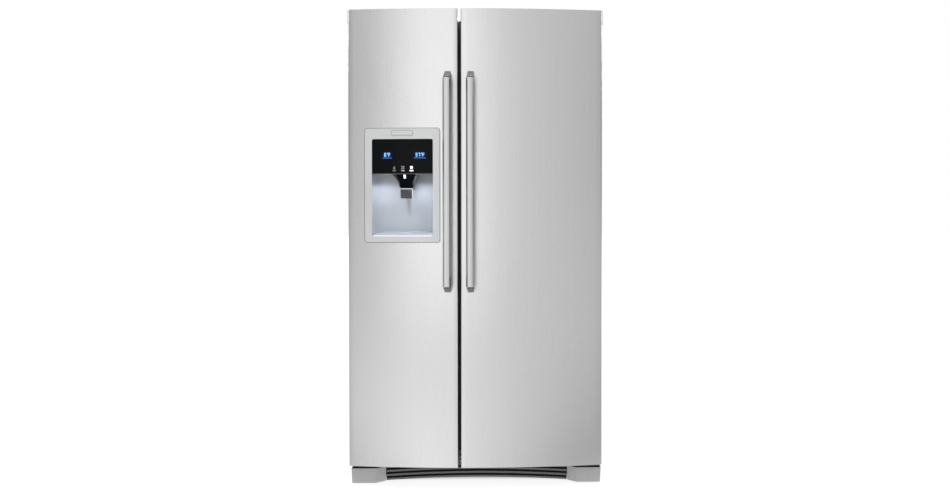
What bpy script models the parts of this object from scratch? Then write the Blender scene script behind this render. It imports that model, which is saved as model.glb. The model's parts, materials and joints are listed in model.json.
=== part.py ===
"""Side by side refrigerator: cabinet, two hinged doors, ice and water dispenser, interior and machine parts.

Metres, +Z up. The origin is on the floor under the middle of the appliance, and the doors face -Y.
"""

from collections import namedtuple
from math import atan2, cos, pi, radians, sin, sqrt

import bmesh
import bpy
from mathutils import Matrix, Vector

# Overall size, and the clearance kept between pieces that touch.
WIDTH, HEIGHT, DEPTH = 0.916, 1.720, 0.876
CLEAR = 0.0003
HALF_WIDTH = WIDTH / 2
BACK = DEPTH / 2

# Doors: one shallow arc runs across both fronts.
DOOR_FRONT = -0.380
DOOR_BULGE = 0.033
DOOR_BACK = -0.289
DOOR_BOTTOM = 0.082
DOOR_GAP = 0.011
DOOR_GAP_X = -0.056
CAP_PROUD = 0.002
CAP_HEIGHT = 0.050
SKIN_HALF = HALF_WIDTH - CAP_PROUD
SKIN = 0.001
DOOR_CORNER, GAP_CORNER = 0.006, 0.0028
RIM_DEPTH = 0.0085
RIM_STEP = 0.0052
LINER = 0.0025
GASKET_WIDTH = 0.0165
ARC_RADIUS = (HALF_WIDTH**2 + DOOR_BULGE**2) / (2 * DOOR_BULGE)
ARC_CENTRE = DOOR_FRONT + ARC_RADIUS
ARC_STEPS, CORNER_STEPS = 24, 4

# Cabinet case, and the two food compartments inside its insulation.
CASE_HALF = 0.4535
CASE_FRONT = -0.277
CASE_TOP = 1.694
CASE_BOTTOM = 0.030
CASE_SHEET = 0.0015
CASE_CORNER = 0.006
FOAM_BOTTOM = 0.100
POCKET_BOTTOM, POCKET_TOP = 0.145, 1.638
POCKET_BACK, STEP_BACK, STEP_TOP = 0.371, 0.145, 0.375
MACHINE_FRONT, MACHINE_TOP = 0.190, 0.330
FREEZER_POCKET = (-0.3985, -0.0855)
FRIDGE_POCKET = (-0.0295, 0.4045)
INNER = CLEAR + LINER
SHELF_FRONT, SHELF_BACK = -0.150, 0.360
DRAWER_FRONT = -0.160
RIM_THICK = 0.004
DRAWER_TOPS = {"lower": 0.352, "upper": 0.590}
DRAWER_FLOORS = {"lower": 0.150, "upper": 0.381}
FREEZER_SHELF_TOP = 1.290
FRIDGE_SHELF_TOPS = {"lower": 0.625, "middle": 0.955, "upper": 1.285}
LEDGE_REACH, LEDGE_THICK = 0.0055, 0.008
PANE = 0.006

# Hinges.
HINGE_X, HINGE_Y = 0.438, -0.314
HINGE_HALF = 0.010
PIN_RADIUS = 0.005
LEAF = 0.004
CAP_TOP = CASE_TOP - 0.0005

# Handles.
HANDLE_OFFSET = 0.041
HANDLE_WIDTH = 0.0286
HANDLE_FACE = 0.0176
HANDLE_FRONT = -BACK
HANDLE_BACK = -0.4165
HANDLE_LOW, HANDLE_HIGH = 0.7315, 1.468
MOUNT_LOW, MOUNT_HIGH = 0.709, 1.497
MOUNT_WIDTH, MOUNT_FOOT = 0.0232, 0.0205
HANDLE_CLEAR = 0.0008

# Dispenser.
BEZEL = (-0.395, 0.888, -0.1255, 1.294)
BADGE = (-0.298, 1.268, -0.223, 1.288)
BEZEL_HOLE = (-0.388, 0.895, -0.1325, 1.287)
RECESS = (-0.369, 0.911, -0.150, 1.256)
DISPENSER_X = (RECESS[0] + RECESS[2]) / 2
PANEL_BOTTOM = 1.134
BEZEL_PROUD = 0.0018
BEZEL_DEPTH = 0.005
NICHE_BEND, NICHE_BACK = -0.350, -0.274
NICHE_WALL = 0.002
NICHE_POWER = 2.6
CHUTE_X = DISPENSER_X + 0.008
PADDLE_PIVOT = (-0.285, 1.0895)
PADDLE_HALF = 0.0225
CHUTE_TIP = 1.0865

# Base.
BLOCK_OUTER, BLOCK_INNER, BLOCK_END = 0.4565, 0.366, 0.333
BLOCK_FRONT, BLOCK_BACK = -0.297, -0.2698
BLOCK_LOW, BLOCK_HIGH = 0.005, 0.061
BLOCK_DRAFT = 0.003
BLOCK_WALL = 0.0025
GRILLE_END_Y, GRILLE_MIDDLE_Y = -0.2695, -0.232
GRILLE_LOW, GRILLE_HIGH = 0.0065, 0.097
GRILLE_DEPTH = 0.011
LOUVRES, LOUVRE_PITCH, LOUVRE_SLOT = 5, 0.015, 0.0078
GRILLE_BAYS, GRILLE_BAR, GRILLE_MARGIN = 4, 0.004, 0.004
LEG_X, LEG_Y = 0.4255, -0.235
ROLLER_X, ROLLER_Y, ROLLER_RADIUS = 0.425, 0.360, 0.022
RAIL_INNER, RAIL_BOTTOM = 0.400, 0.045
RAIL_FRONT, RAIL_BACK, RAIL_SHEET = -0.2655, 0.430, 0.002

# Machine compartment.
SHEET_BACK = BACK - 0.0018
COVER_TOP = 0.325
MACHINE_PLATE = 0.063
COMPRESSOR_PLACE = (0.250, 0.300, MACHINE_PLATE + CLEAR)
FAN_PLACE = (0.090, 0.310, 0.150)
FAN_RADIUS, FAN_HUB, FAN_BLADES = 0.066, 0.018, 5
COIL_Y, COIL_TUBE, COIL_BEND = 0.300, 0.004, 0.016
COIL_LEFT, COIL_RIGHT, COIL_LOW, COIL_ROWS = -0.330, 0.010, 0.085, 7

SIDES = (("left", -1), ("right", 1))
Door = namedtuple("Door", "name left right sign raised windows")
Finish = namedtuple("Finish", "colour metallic roughness")

FREEZER_DOOR = Door(
    "freezer",
    -SKIN_HALF,
    DOOR_GAP_X - DOOR_GAP / 2,
    -1,
    (-0.388, 0.600, -0.103, 1.623),
    ((-0.366, 0.622, -0.125, 0.875), (-0.366, 1.305, -0.125, 1.601)),
)
FRIDGE_DOOR = Door(
    "fridge",
    DOOR_GAP_X + DOOR_GAP / 2,
    SKIN_HALF,
    1,
    (-0.012, 0.600, 0.394, 1.623),
    ((0.010, 0.622, 0.372, 1.601),),
)
RAISED_TO = -0.245

FINISHES = {
    "stainless": Finish((0.62, 0.62, 0.63), 1.0, 0.32),
    "bright_steel": Finish((0.70, 0.70, 0.70), 1.0, 0.22),
    "dark_metal": Finish((0.19, 0.19, 0.20), 0.6, 0.42),
    "case_paint": Finish((0.10, 0.10, 0.11), 0.2, 0.55),
    "galvanised": Finish((0.48, 0.49, 0.50), 0.9, 0.50),
    "black_steel": Finish((0.02, 0.02, 0.02), 0.2, 0.50),
    "copper_tube": Finish((0.04, 0.04, 0.04), 0.3, 0.45),
    "foam": Finish((0.80, 0.72, 0.50), 0.0, 0.90),
    "white_liner": Finish((0.84, 0.85, 0.85), 0.0, 0.35),
    "clear_plastic": Finish((0.80, 0.86, 0.90), 0.0, 0.12),
    "shelf_glass": Finish((0.75, 0.84, 0.82), 0.0, 0.08),
    "silver_plastic": Finish((0.62, 0.63, 0.64), 0.3, 0.35),
    "grey_plastic": Finish((0.36, 0.36, 0.36), 0.0, 0.50),
    "dark_plastic": Finish((0.05, 0.05, 0.05), 0.0, 0.45),
    "black_gloss": Finish((0.006, 0.007, 0.009), 0.0, 0.08),
    "niche_plastic": Finish((0.48, 0.52, 0.60), 0.2, 0.30),
    "rubber": Finish((0.01, 0.01, 0.01), 0.0, 0.70),
}


# Scene and building helpers.


def clear_scene():
    for obj in list(bpy.data.objects):
        bpy.data.objects.remove(obj, do_unlink=True)


def new_collection(name):
    made = bpy.data.collections.new(name)
    bpy.context.scene.collection.children.link(made)
    return made


def material(name, finish):
    made = bpy.data.materials.new(name)
    made.use_nodes = True
    shader = made.node_tree.nodes["Principled BSDF"]
    shader.inputs["Base Color"].default_value = (*finish.colour, 1.0)
    shader.inputs["Metallic"].default_value = finish.metallic
    shader.inputs["Roughness"].default_value = finish.roughness
    return made


def part(name, mesh, finish, pivot=None):
    """A named sub-part from a mesh in world metres. A moving one hangs from its pivot's empty."""
    mesh.name = name
    mesh.materials.clear()
    mesh.materials.append(material(name, FINISHES[finish]))
    obj = bpy.data.objects.new(name, mesh)
    parts.objects.link(obj)
    hang(obj, pivot)
    return obj


def hang(obj, pivot):
    if pivot:
        obj.parent = pivot
        obj.matrix_parent_inverse = Matrix.Translation(pivot.location).inverted()


def pivot_at(name, place, parent=None):
    """An empty on a joint's axis."""
    empty = bpy.data.objects.new(name, None)
    empty.empty_display_size = 0.05
    parts.objects.link(empty)
    empty.location = Vector(place)
    if parent:
        empty.parent = parent
        empty.matrix_parent_inverse = Matrix.Translation(parent.location).inverted()
    return empty


def combine(obj, mesh, operation):
    """A live Boolean with a hidden helper object."""
    helper = bpy.data.objects.new(f"{obj.name}_{operation.lower()}", mesh)
    helper.hide_render = True
    helper.display_type = "WIRE"
    cutters.objects.link(helper)
    step = obj.modifiers.new(operation.title(), "BOOLEAN")
    step.operation = operation
    step.solver = "EXACT"
    step.object = helper
    return obj


def cut(obj, *meshes):
    for mesh in meshes:
        combine(obj, mesh, "DIFFERENCE")
    return obj


def join(obj, *meshes):
    for mesh in meshes:
        combine(obj, mesh, "UNION")
    return obj


def soften(obj, width, segments=2, angle=40):
    """Rounded edges."""
    bevel = obj.modifiers.new("Bevel", "BEVEL")
    bevel.width = width
    bevel.segments = segments
    bevel.limit_method = "ANGLE"
    bevel.angle_limit = radians(angle)
    return obj


def smooth(mesh, angle=30):
    mesh.shade_smooth()
    mesh.set_sharp_from_angle(angle=radians(angle))
    return mesh


def mesh_from(shape):
    """A mesh from a bmesh, with its faces turned outwards."""
    bmesh.ops.recalc_face_normals(shape, faces=shape.faces)
    mesh = bpy.data.meshes.new("shape")
    shape.to_mesh(mesh)
    shape.free()
    return mesh


def box(low, high):
    shape = bmesh.new()
    size = [b - a for a, b in zip(low, high)]
    middle = [(a + b) / 2 for a, b in zip(low, high)]
    bmesh.ops.create_cube(shape, matrix=Matrix.Translation(middle) @ Matrix.Diagonal((*size, 1)))
    return mesh_from(shape)


# Turns +Z onto a world axis.
ALONG = {
    "X": Matrix.Rotation(pi / 2, 4, "Y"),
    "Z": Matrix.Identity(4),
}


def cylinder(centre, radius, length, axis="Z", steps=20):
    """A round bar, centred, along a world axis."""
    shape = bmesh.new()
    bmesh.ops.create_cone(
        shape,
        cap_ends=True,
        segments=steps,
        radius1=radius,
        radius2=radius,
        depth=length,
        matrix=Matrix.Translation(centre) @ ALONG[axis],
    )
    return mesh_from(shape)


def mesh_of_curve(curve, place):
    """A curve's closed mesh: its caps are welded to its sides."""
    holder = bpy.data.objects.new("outline", curve)
    cutters.objects.link(holder)
    bpy.context.view_layer.update()
    seen = holder.evaluated_get(bpy.context.evaluated_depsgraph_get())
    mesh = bpy.data.meshes.new_from_object(seen)
    bpy.data.objects.remove(holder, do_unlink=True)
    bpy.data.curves.remove(curve)
    mesh.transform(place)
    shape = bmesh.new()
    shape.from_mesh(mesh)
    bpy.data.meshes.remove(mesh)
    bmesh.ops.remove_doubles(shape, verts=shape.verts, dist=1e-6)
    return mesh_from(shape)


# How an outline's two axes and its thickness lie in the world.
ACROSS = {
    "Z": Matrix.Identity(4),
    "Y": Matrix(((1, 0, 0, 0), (0, 0, 1, 0), (0, 1, 0, 0), (0, 0, 0, 1))),
    "X": Matrix(((0, 0, 1, 0), (1, 0, 0, 0), (0, 1, 0, 0), (0, 0, 0, 1))),
}


def prism(outlines, low, high, axis="Z"):
    """A solid between two planes across an axis. Outlines after the first are holes."""
    curve = bpy.data.curves.new("outline", "CURVE")
    curve.dimensions = "2D"
    curve.fill_mode = "BOTH"
    curve.extrude = (high - low) / 2
    for points in outlines:
        spline = curve.splines.new("POLY")
        spline.points.add(len(points) - 1)
        for point, (u, v) in zip(spline.points, points):
            point.co = (u, v, 0, 1)
        spline.use_cyclic_u = True
    return mesh_of_curve(curve, ACROSS[axis] @ Matrix.Translation((0, 0, (low + high) / 2)))


def tube(points, radius, resolution=2):
    """A bent tube with closed ends along a polyline."""
    curve = bpy.data.curves.new("tube", "CURVE")
    curve.dimensions = "3D"
    curve.bevel_depth = radius
    curve.bevel_resolution = resolution
    curve.use_fill_caps = True
    spline = curve.splines.new("POLY")
    spline.points.add(len(points) - 1)
    for point, place in zip(spline.points, points):
        point.co = (*place, 1)
    return mesh_of_curve(curve, Matrix.Identity(4))


def turned(name, profile, place, axis, finish, pivot=None, steps=28):
    """A turned piece from a profile of (radius, height) that runs top to bottom down its outer side."""
    mesh = bpy.data.meshes.new(name)
    points = [(radius, 0, height) for radius, height in profile]
    mesh.from_pydata(points, [(i, i + 1) for i in range(len(points) - 1)], [])
    obj = part(name, mesh, finish)
    obj.matrix_world = Matrix.Translation(place) @ ALONG[axis]
    screw = obj.modifiers.new("Screw", "SCREW")
    screw.steps = steps
    screw.render_steps = steps
    screw.use_merge_vertices = True
    screw.merge_threshold = 0.00005
    hang(obj, pivot)
    return obj


# Outlines.


def rectangle(left, low, right, high, shrink=0.0):
    left, low, right, high = left + shrink, low + shrink, right - shrink, high - shrink
    return [(left, low), (right, low), (right, high), (left, high)]


def rounded(left, low, right, high, radius, steps=4):
    """A rectangle with round corners."""
    corners = (
        (right - radius, low + radius, -pi / 2),
        (right - radius, high - radius, 0),
        (left + radius, high - radius, pi / 2),
        (left + radius, low + radius, pi),
    )
    return [
        (x + radius * cos(start + pi / 2 * i / steps), z + radius * sin(start + pi / 2 * i / steps))
        for x, z, start in corners
        for i in range(steps + 1)
    ]


def arch(half, low, high, radius, steps=4):
    """Up one side, over two round corners and down the other side."""
    turn = [pi / 2 * i / steps for i in range(steps + 1)]
    left = [(-half + radius - radius * cos(a), high - radius + radius * sin(a)) for a in turn]
    right = [(half - radius + radius * sin(a), high - radius + radius * cos(a)) for a in turn]
    return [(-half, low), *left, *right, (half, low)]


def front_y(x, inset=0.0):
    """The door front's arc, or the arc a little behind it."""
    return ARC_CENTRE - sqrt((ARC_RADIUS - inset) ** 2 - x**2)


def front_arc(left, right, inset, steps=ARC_STEPS):
    """Points on the door front's arc from left to right."""
    return [
        (x, front_y(x, inset)) for x in (left + (right - left) * i / steps for i in range(steps + 1))
    ]


def door_plan(left, right, inset, back):
    """Plan of a door, drawn inside its outer surface: straight sides, round corners and the front arc."""
    reach = ARC_RADIUS - inset
    corners = []
    for edge, way in ((left, 1), (right, -1)):
        full = GAP_CORNER if abs(edge - DOOR_GAP_X) < DOOR_GAP else DOOR_CORNER
        radius = max(full - inset, 0.001)
        x = edge + way * (inset + radius)
        y = ARC_CENTRE - sqrt((reach - radius) ** 2 - x**2)
        corners.append((x, y, radius, atan2(y - ARC_CENTRE, x)))
    first, last = corners[0][3], corners[1][3]
    front = sweep((0.0, ARC_CENTRE), reach, first, last, ARC_STEPS)[1:-1]
    left_turn = sweep(corners[0][:2], corners[0][2], -pi, first, CORNER_STEPS)
    right_turn = sweep(corners[1][:2], corners[1][2], last, 0.0, CORNER_STEPS)
    return [(left + inset, back), *left_turn, *front, *right_turn, (right - inset, back)]


def sweep(centre, radius, start, stop, steps):
    """Points round part of a circle."""
    angles = [start + (stop - start) * i / steps for i in range(steps + 1)]
    return [(centre[0] + radius * cos(a), centre[1] + radius * sin(a)) for a in angles]


def pocket_profile(shrink, front):
    """Side view of a food compartment: its floor steps up over the machine compartment."""
    low, high = POCKET_BOTTOM + shrink, POCKET_TOP - shrink
    back, step, ledge = POCKET_BACK - shrink, STEP_BACK - shrink, STEP_TOP + shrink
    return [(front, low), (step, low), (step, ledge), (back, ledge), (back, high), (front, high)]


def niche_plan(grow, steps=20):
    """Plan of the dispenser's hollow: straight sides behind the door's front, then a wide, deep bowl."""
    half = (RECESS[2] - RECESS[0]) / 2 + grow
    depth = NICHE_BACK - NICHE_BEND + grow
    power = 2 / NICHE_POWER
    bowl = [
        (
            DISPENSER_X + half * abs(cos(a)) ** power * (1 if cos(a) > 0 else -1),
            NICHE_BEND + depth * sin(a) ** power,
        )
        for a in (pi * i / steps for i in range(steps))
    ]
    ahead = DOOR_FRONT - 0.005
    return [(DISPENSER_X + half, ahead), *bowl, (DISPENSER_X - half, NICHE_BEND), (DISPENSER_X - half, ahead)]


def ahead_of(inset):
    """Plan of everything in front of the arc that lies this far behind the door's front."""
    left, right = BEZEL[0] - 0.01, BEZEL[2] + 0.01
    return [(left, DOOR_FRONT - 0.03), *front_arc(left, right, inset), (right, DOOR_FRONT - 0.03)]


# Cabinet.


def cabinet_wrapper():
    """Bent steel case: sides, top, front flange and the post between the two compartments."""
    inner_half = CASE_HALF - CASE_SHEET
    outer = prism([arch(CASE_HALF, CASE_BOTTOM, CASE_TOP, CASE_CORNER)], CASE_FRONT, SHEET_BACK - 0.0018, "Y")
    inner = arch(inner_half, CASE_BOTTOM - 0.01, CASE_TOP - CASE_SHEET, CASE_CORNER - CASE_SHEET)
    case = part("cabinet_wrapper", outer, "case_paint")
    cut(case, prism([inner], CASE_FRONT + CASE_SHEET, BACK + 0.01, "Y"))
    for left, right in (FREEZER_POCKET, FRIDGE_POCKET):
        cut(case, box((left, CASE_FRONT - 0.01, POCKET_BOTTOM), (right, CASE_FRONT + 0.01, POCKET_TOP)))
    low = (-inner_half + 0.0003, CASE_FRONT - 0.01, 0.0)
    cut(case, box(low, (inner_half - 0.0003, CASE_FRONT + 0.01, FOAM_BOTTOM)))


def insulation_foam():
    front, back = CASE_FRONT + CASE_SHEET + CLEAR, SHEET_BACK - 0.0018
    top = CASE_TOP - CASE_SHEET - CLEAR
    side = [
        (front, FOAM_BOTTOM),
        (MACHINE_FRONT, FOAM_BOTTOM),
        (MACHINE_FRONT, MACHINE_TOP),
        (back, MACHINE_TOP),
        (back, top),
        (front, top),
    ]
    half = CASE_HALF - CASE_SHEET - CLEAR
    foam = part("insulation_foam", prism([side], -half, half, "X"), "foam")
    for edge in (-1, 1):
        corner = [(edge * half, top - 0.004), (edge * (half - 0.004), top), (edge * half, top + 0.002)]
        cut(foam, prism([[*corner, (edge * (half + 0.002), top + 0.002)]], front - 0.01, back + 0.01, "Y"))
    for left, right in (FREEZER_POCKET, FRIDGE_POCKET):
        cut(foam, prism([pocket_profile(0, front - 0.01)], left, right, "X"))


def liner(name, pocket, ledges):
    """Moulded inner box with ledges on both sides for shelves and drawers."""
    left, right = pocket
    front = CASE_FRONT + CASE_SHEET + CLEAR
    outer = prism([pocket_profile(CLEAR, front)], left + CLEAR, right - CLEAR, "X")
    hollow = prism([pocket_profile(INNER, front - 0.01)], left + INNER, right - INNER, "X")
    shell = cut(part(name, outer, "white_liner"), hollow)
    for top, back in ledges:
        for wall, way in ((left + INNER, 1), (right - INNER, -1)):
            span = sorted((wall - way * 0.001, wall + way * LEDGE_REACH))
            join(shell, box((span[0], SHELF_FRONT, top - LEDGE_THICK), (span[1], back, top)))


def rear_panel():
    """Sheet back, with a raised cover over the machine compartment that has rows of vent slots."""
    sheet = prism([rectangle(-CASE_HALF, 0.045, CASE_HALF, CASE_TOP)], SHEET_BACK - 0.0015, SHEET_BACK, "Y")
    panel = part("rear_panel", sheet, "galvanised")
    cover = rounded(-CASE_HALF + 0.008, 0.052, CASE_HALF - 0.008, COVER_TOP, 0.012)
    join(panel, prism([cover], SHEET_BACK - 0.0005, BACK, "Y"))
    for low in (0.105, 0.205):
        for x in (-0.360 + 0.072 * i for i in range(11)):
            slot = rounded(x, low, x + 0.008, low + 0.062, 0.003, 2)
            cut(panel, prism([slot], SHEET_BACK - 0.01, BACK + 0.01, "Y"))


def base_frame():
    """Two channel rails, a front cross bar, the compressor's plate and the fan's post."""
    top, outer = FOAM_BOTTOM - CLEAR, CASE_HALF - CASE_SHEET - CLEAR
    front, back, sheet = RAIL_FRONT, RAIL_BACK, RAIL_SHEET
    bar = box((-RAIL_INNER - 0.001, -0.215, 0.062), (RAIL_INNER + 0.001, -0.190, top - 0.0005))
    frame = part("base_frame", bar, "galvanised")
    for edge in (-1, 1):
        rail_x = sorted((edge * RAIL_INNER, edge * outer))
        join(frame, box((rail_x[0], front, RAIL_BOTTOM), (rail_x[1], back, top)))
    plate_low = (-RAIL_INNER - 0.001, 0.195, MACHINE_PLATE - 0.003)
    join(frame, box(plate_low, (RAIL_INNER + 0.001, back - 0.001, MACHINE_PLATE)))
    join(frame, box((0.110, 0.296, 0.062), (0.124, 0.324, 0.180)))
    for edge in (-1, 1):
        inside = sorted((edge * (RAIL_INNER + sheet), edge * (outer - sheet)))
        cut(frame, box((inside[0], -0.205, RAIL_BOTTOM - 0.01), (inside[1], back - sheet, top - sheet)))
        cut(frame, box((inside[0], front + sheet, 0.052), (inside[1], -0.204, top - sheet)))
        cut(frame, cylinder((edge * LEG_X, LEG_Y, 0.050), 0.0065, 0.02))
        for ear in (RAIL_INNER + 0.0005, outer - 0.0045):
            ear_x = sorted((edge * ear, edge * (ear + 0.004)))
            join(frame, box((ear_x[0], ROLLER_Y - 0.015, 0.012), (ear_x[1], ROLLER_Y + 0.015, 0.060)))
        cut(frame, cylinder((edge * ROLLER_X, ROLLER_Y, ROLLER_RADIUS), 0.0054, 0.08, "X"))


def compressor():
    """Sealed steel pot with a welded seam band."""
    profile = [
        (0.0, 0.172),
        (0.030, 0.170),
        (0.055, 0.160),
        (0.070, 0.140),
        (0.074, 0.115),
        (0.074, 0.092),
        (0.079, 0.090),
        (0.079, 0.080),
        (0.074, 0.078),
        (0.074, 0.045),
        (0.068, 0.022),
        (0.050, 0.010),
        (0.050, 0.0),
        (0.0, 0.0),
    ]
    turned("compressor", profile, COMPRESSOR_PLACE, "Z", "black_steel")


def condenser_coil():
    """Serpentine tube standing on the machine plate."""
    heights = [COIL_LOW + 2 * COIL_BEND * i for i in range(COIL_ROWS)]
    steps = 5
    turn = [-pi / 2 + pi * i / steps for i in range(steps + 1)]
    points = [(COIL_LEFT, COIL_Y, COIL_LOW)]
    for row, z in enumerate(heights[:-1]):
        edge, way = (COIL_RIGHT, 1) if row % 2 == 0 else (COIL_LEFT, -1)
        middle = z + COIL_BEND
        points += [(edge + way * COIL_BEND * cos(a), COIL_Y, middle + COIL_BEND * sin(a)) for a in turn]
    points.append((COIL_RIGHT, COIL_Y, heights[-1]))
    part("condenser_coil", smooth(tube(points, COIL_TUBE)), "copper_tube")


def condenser_fan():
    """Five pitched blades on a hub, which turns on the post's shaft."""
    place = Vector(FAN_PLACE)
    pivot = pivot_at("condenser_fan_axis", place)
    fan = part("condenser_fan", cylinder(place, FAN_HUB, 0.026, "X"), "dark_plastic", pivot)
    for number in range(FAN_BLADES):
        blade = box((-0.0012, FAN_HUB - 0.006, -0.019), (0.0012, FAN_RADIUS, 0.019))
        blade.transform(Matrix.Rotation(radians(32), 4, "Y"))
        blade.transform(Matrix.Translation(place) @ Matrix.Rotation(2 * pi * number / FAN_BLADES, 4, "X"))
        join(fan, blade)


# Base trim, legs and rollers.


def toe_grille():
    """Louvred kick plate that curves back between the corner covers."""
    end = BLOCK_END - CLEAR - 0.0002
    rise = GRILLE_MIDDLE_Y - GRILLE_END_Y
    radius = (end**2 + rise**2) / (2 * rise)

    def bow(x, back):
        return GRILLE_MIDDLE_Y - radius + sqrt(radius**2 - x**2) + back

    steps = 24
    xs = [-end + 2 * end * i / steps for i in range(steps + 1)]
    outline = [(x, bow(x, 0.0)) for x in xs] + [(x, bow(x, GRILLE_DEPTH)) for x in reversed(xs)]
    grille = part("toe_grille", prism([outline], GRILLE_LOW, GRILLE_HIGH), "dark_plastic")
    width = (2 * (end - GRILLE_MARGIN) - (GRILLE_BAYS - 1) * GRILLE_BAR) / GRILLE_BAYS
    slots = bmesh.new()
    for row in range(LOUVRES):
        z = GRILLE_LOW + LOUVRE_PITCH - LOUVRE_SLOT + LOUVRE_PITCH * row
        for bay in range(GRILLE_BAYS):
            left = -end + GRILLE_MARGIN + bay * (width + GRILLE_BAR)
            middle = (left + width / 2, GRILLE_END_Y, z + LOUVRE_SLOT / 2)
            size = Matrix.Diagonal((width, 0.10, LOUVRE_SLOT, 1))
            bmesh.ops.create_cube(slots, matrix=Matrix.Translation(middle) @ size)
    cut(grille, mesh_from(slots))


def base_corner(side, sign):
    """Corner cover: flat front, angled inner return, open behind and below."""
    slope = (BLOCK_END - BLOCK_INNER) / (BLOCK_BACK - BLOCK_FRONT)

    def plan(inset, back):
        front, away = BLOCK_FRONT + inset, inset * sqrt(1 + slope**2)
        inner = [(BLOCK_INNER + slope * (y - BLOCK_FRONT) + away, y) for y in (front, back)]
        outer = BLOCK_OUTER - inset
        return [(sign * x, y) for x, y in ((outer, back), (outer, front), *inner)]

    block = prism([plan(0.0, BLOCK_BACK)], BLOCK_LOW, BLOCK_HIGH)
    hollow = prism([plan(BLOCK_WALL, BLOCK_BACK + 0.01)], BLOCK_LOW - 0.01, BLOCK_HIGH - BLOCK_WALL)
    for mesh in (block, hollow):
        for vertex in mesh.vertices:
            if abs(vertex.co.x) > BLOCK_INNER + 0.05 and vertex.co.z < BLOCK_HIGH / 2:
                vertex.co.x -= sign * BLOCK_DRAFT
    cover = part(f"base_corner_{side}", block, "grey_plastic")
    soften(cover, 0.0015, 2, 30)
    cut(cover, hollow)
    slot = sorted((sign * (CASE_HALF - CASE_SHEET - 0.001), sign * (BLOCK_OUTER + 0.002)))
    cut(cover, box((slot[0], CASE_FRONT - CLEAR, 0.0), (slot[1], BLOCK_BACK + 0.01, 0.1)))


def leveling_leg(side, sign):
    """Threaded foot that screws up into the front of a rail."""
    place = (sign * LEG_X, LEG_Y, 0.0)
    pivot = pivot_at(f"leveling_leg_{side}_axis", place)
    profile = [
        (0.0, 0.088),
        (0.006, 0.088),
        (0.006, 0.020),
        (0.010, 0.0195),
        (0.010, 0.011),
        (0.0175, 0.010),
        (0.019, 0.002),
        (0.0175, 0.0),
        (0.0, 0.0),
    ]
    turned(f"leveling_leg_{side}", profile, place, "Z", "dark_metal", pivot, 20)


def rear_roller(side, sign):
    """Roller and its axle, held in the rail's two ears."""
    place = (sign * ROLLER_X, ROLLER_Y, ROLLER_RADIUS)
    pivot = pivot_at(f"rear_roller_{side}_axis", place)
    half, axle = 0.014, 0.0235
    profile = [
        (0.0, axle),
        (0.005, axle),
        (0.005, half),
        (ROLLER_RADIUS - 0.0015, half),
        (ROLLER_RADIUS, half - 0.0015),
        (ROLLER_RADIUS, -half + 0.0015),
        (ROLLER_RADIUS - 0.0015, -half),
        (0.005, -half),
        (0.005, -axle),
        (0.0, -axle),
    ]
    turned(f"rear_roller_{side}", profile, place, "X", "dark_plastic", pivot, 36)


# Hinges.


def leaf_outline(sign, tail, tail_in, tail_out):
    """Hinge leaf in plan: a round nose on the pin's axis, widening onto the cabinet."""
    nose = [
        (sign * HINGE_X + HINGE_HALF * cos(a), HINGE_Y + HINGE_HALF * sin(a))
        for a in (pi + pi * i / 10 for i in range(11))
    ]
    neck = CASE_FRONT - 0.003
    body = [(sign * tail_in, neck + 0.010), (sign * tail_in, tail), (sign * tail_out, tail)]
    body += [(sign * tail_out, neck + 0.010)]
    if sign > 0:
        return [*nose, (HINGE_X + HINGE_HALF, neck), *body[::-1], (HINGE_X - HINGE_HALF, neck)]
    return [*nose, (-HINGE_X + HINGE_HALF, neck), *body, (-HINGE_X - HINGE_HALF, neck)]


def upper_hinge(side, sign):
    """Plate on the cabinet's top, with a pin down into the door's cap."""
    low = CASE_TOP + CLEAR
    plate = prism([leaf_outline(sign, -0.165, 0.405, 0.4478)], low, low + LEAF)
    hinge = part(f"upper_hinge_{side}", plate, "dark_metal")
    join(hinge, cylinder((sign * HINGE_X, HINGE_Y, low - 0.006), PIN_RADIUS, 0.017))


def hinge_cover(side, sign):
    """Plastic cover over an upper hinge."""
    inner, outer = sorted((sign * 0.396, sign * 0.4525))
    low = CASE_TOP + CLEAR
    front, back = -0.268, -0.150
    cover = part(f"hinge_cover_{side}", box((inner, front, low), (outer, back, low + 0.018)), "dark_plastic")
    soften(cover, 0.004, 3)
    cut(cover, box((inner + 0.002, front + 0.002, low - 0.01), (outer - 0.002, back - 0.002, low + 0.0155)))
    neck = sorted((sign * 0.4035, sign * 0.4495))
    cut(cover, box((neck[0], front - 0.01, low - 0.01), (neck[1], front + 0.003, low + LEAF + 0.001)))


def lower_hinge(side, sign):
    """Bracket on the rail's front, with a step for the door to turn on and a pin up into the door."""
    high = DOOR_BOTTOM - 0.0025
    leaf = prism([leaf_outline(sign, -0.2658, 0.408, 0.449)], high - 0.005, high)
    bracket = part(f"lower_hinge_{side}", leaf, "dark_metal")
    plate_x = sorted((sign * 0.408, sign * 0.449))
    join(bracket, box((plate_x[0], -0.2692, 0.050), (plate_x[1], -0.2658, high - 0.001)))
    join(bracket, cylinder((sign * HINGE_X, HINGE_Y, high), 0.0085, 0.0044))
    join(bracket, cylinder((sign * HINGE_X, HINGE_Y, high + 0.010), PIN_RADIUS, 0.024))


# Doors.


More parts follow.
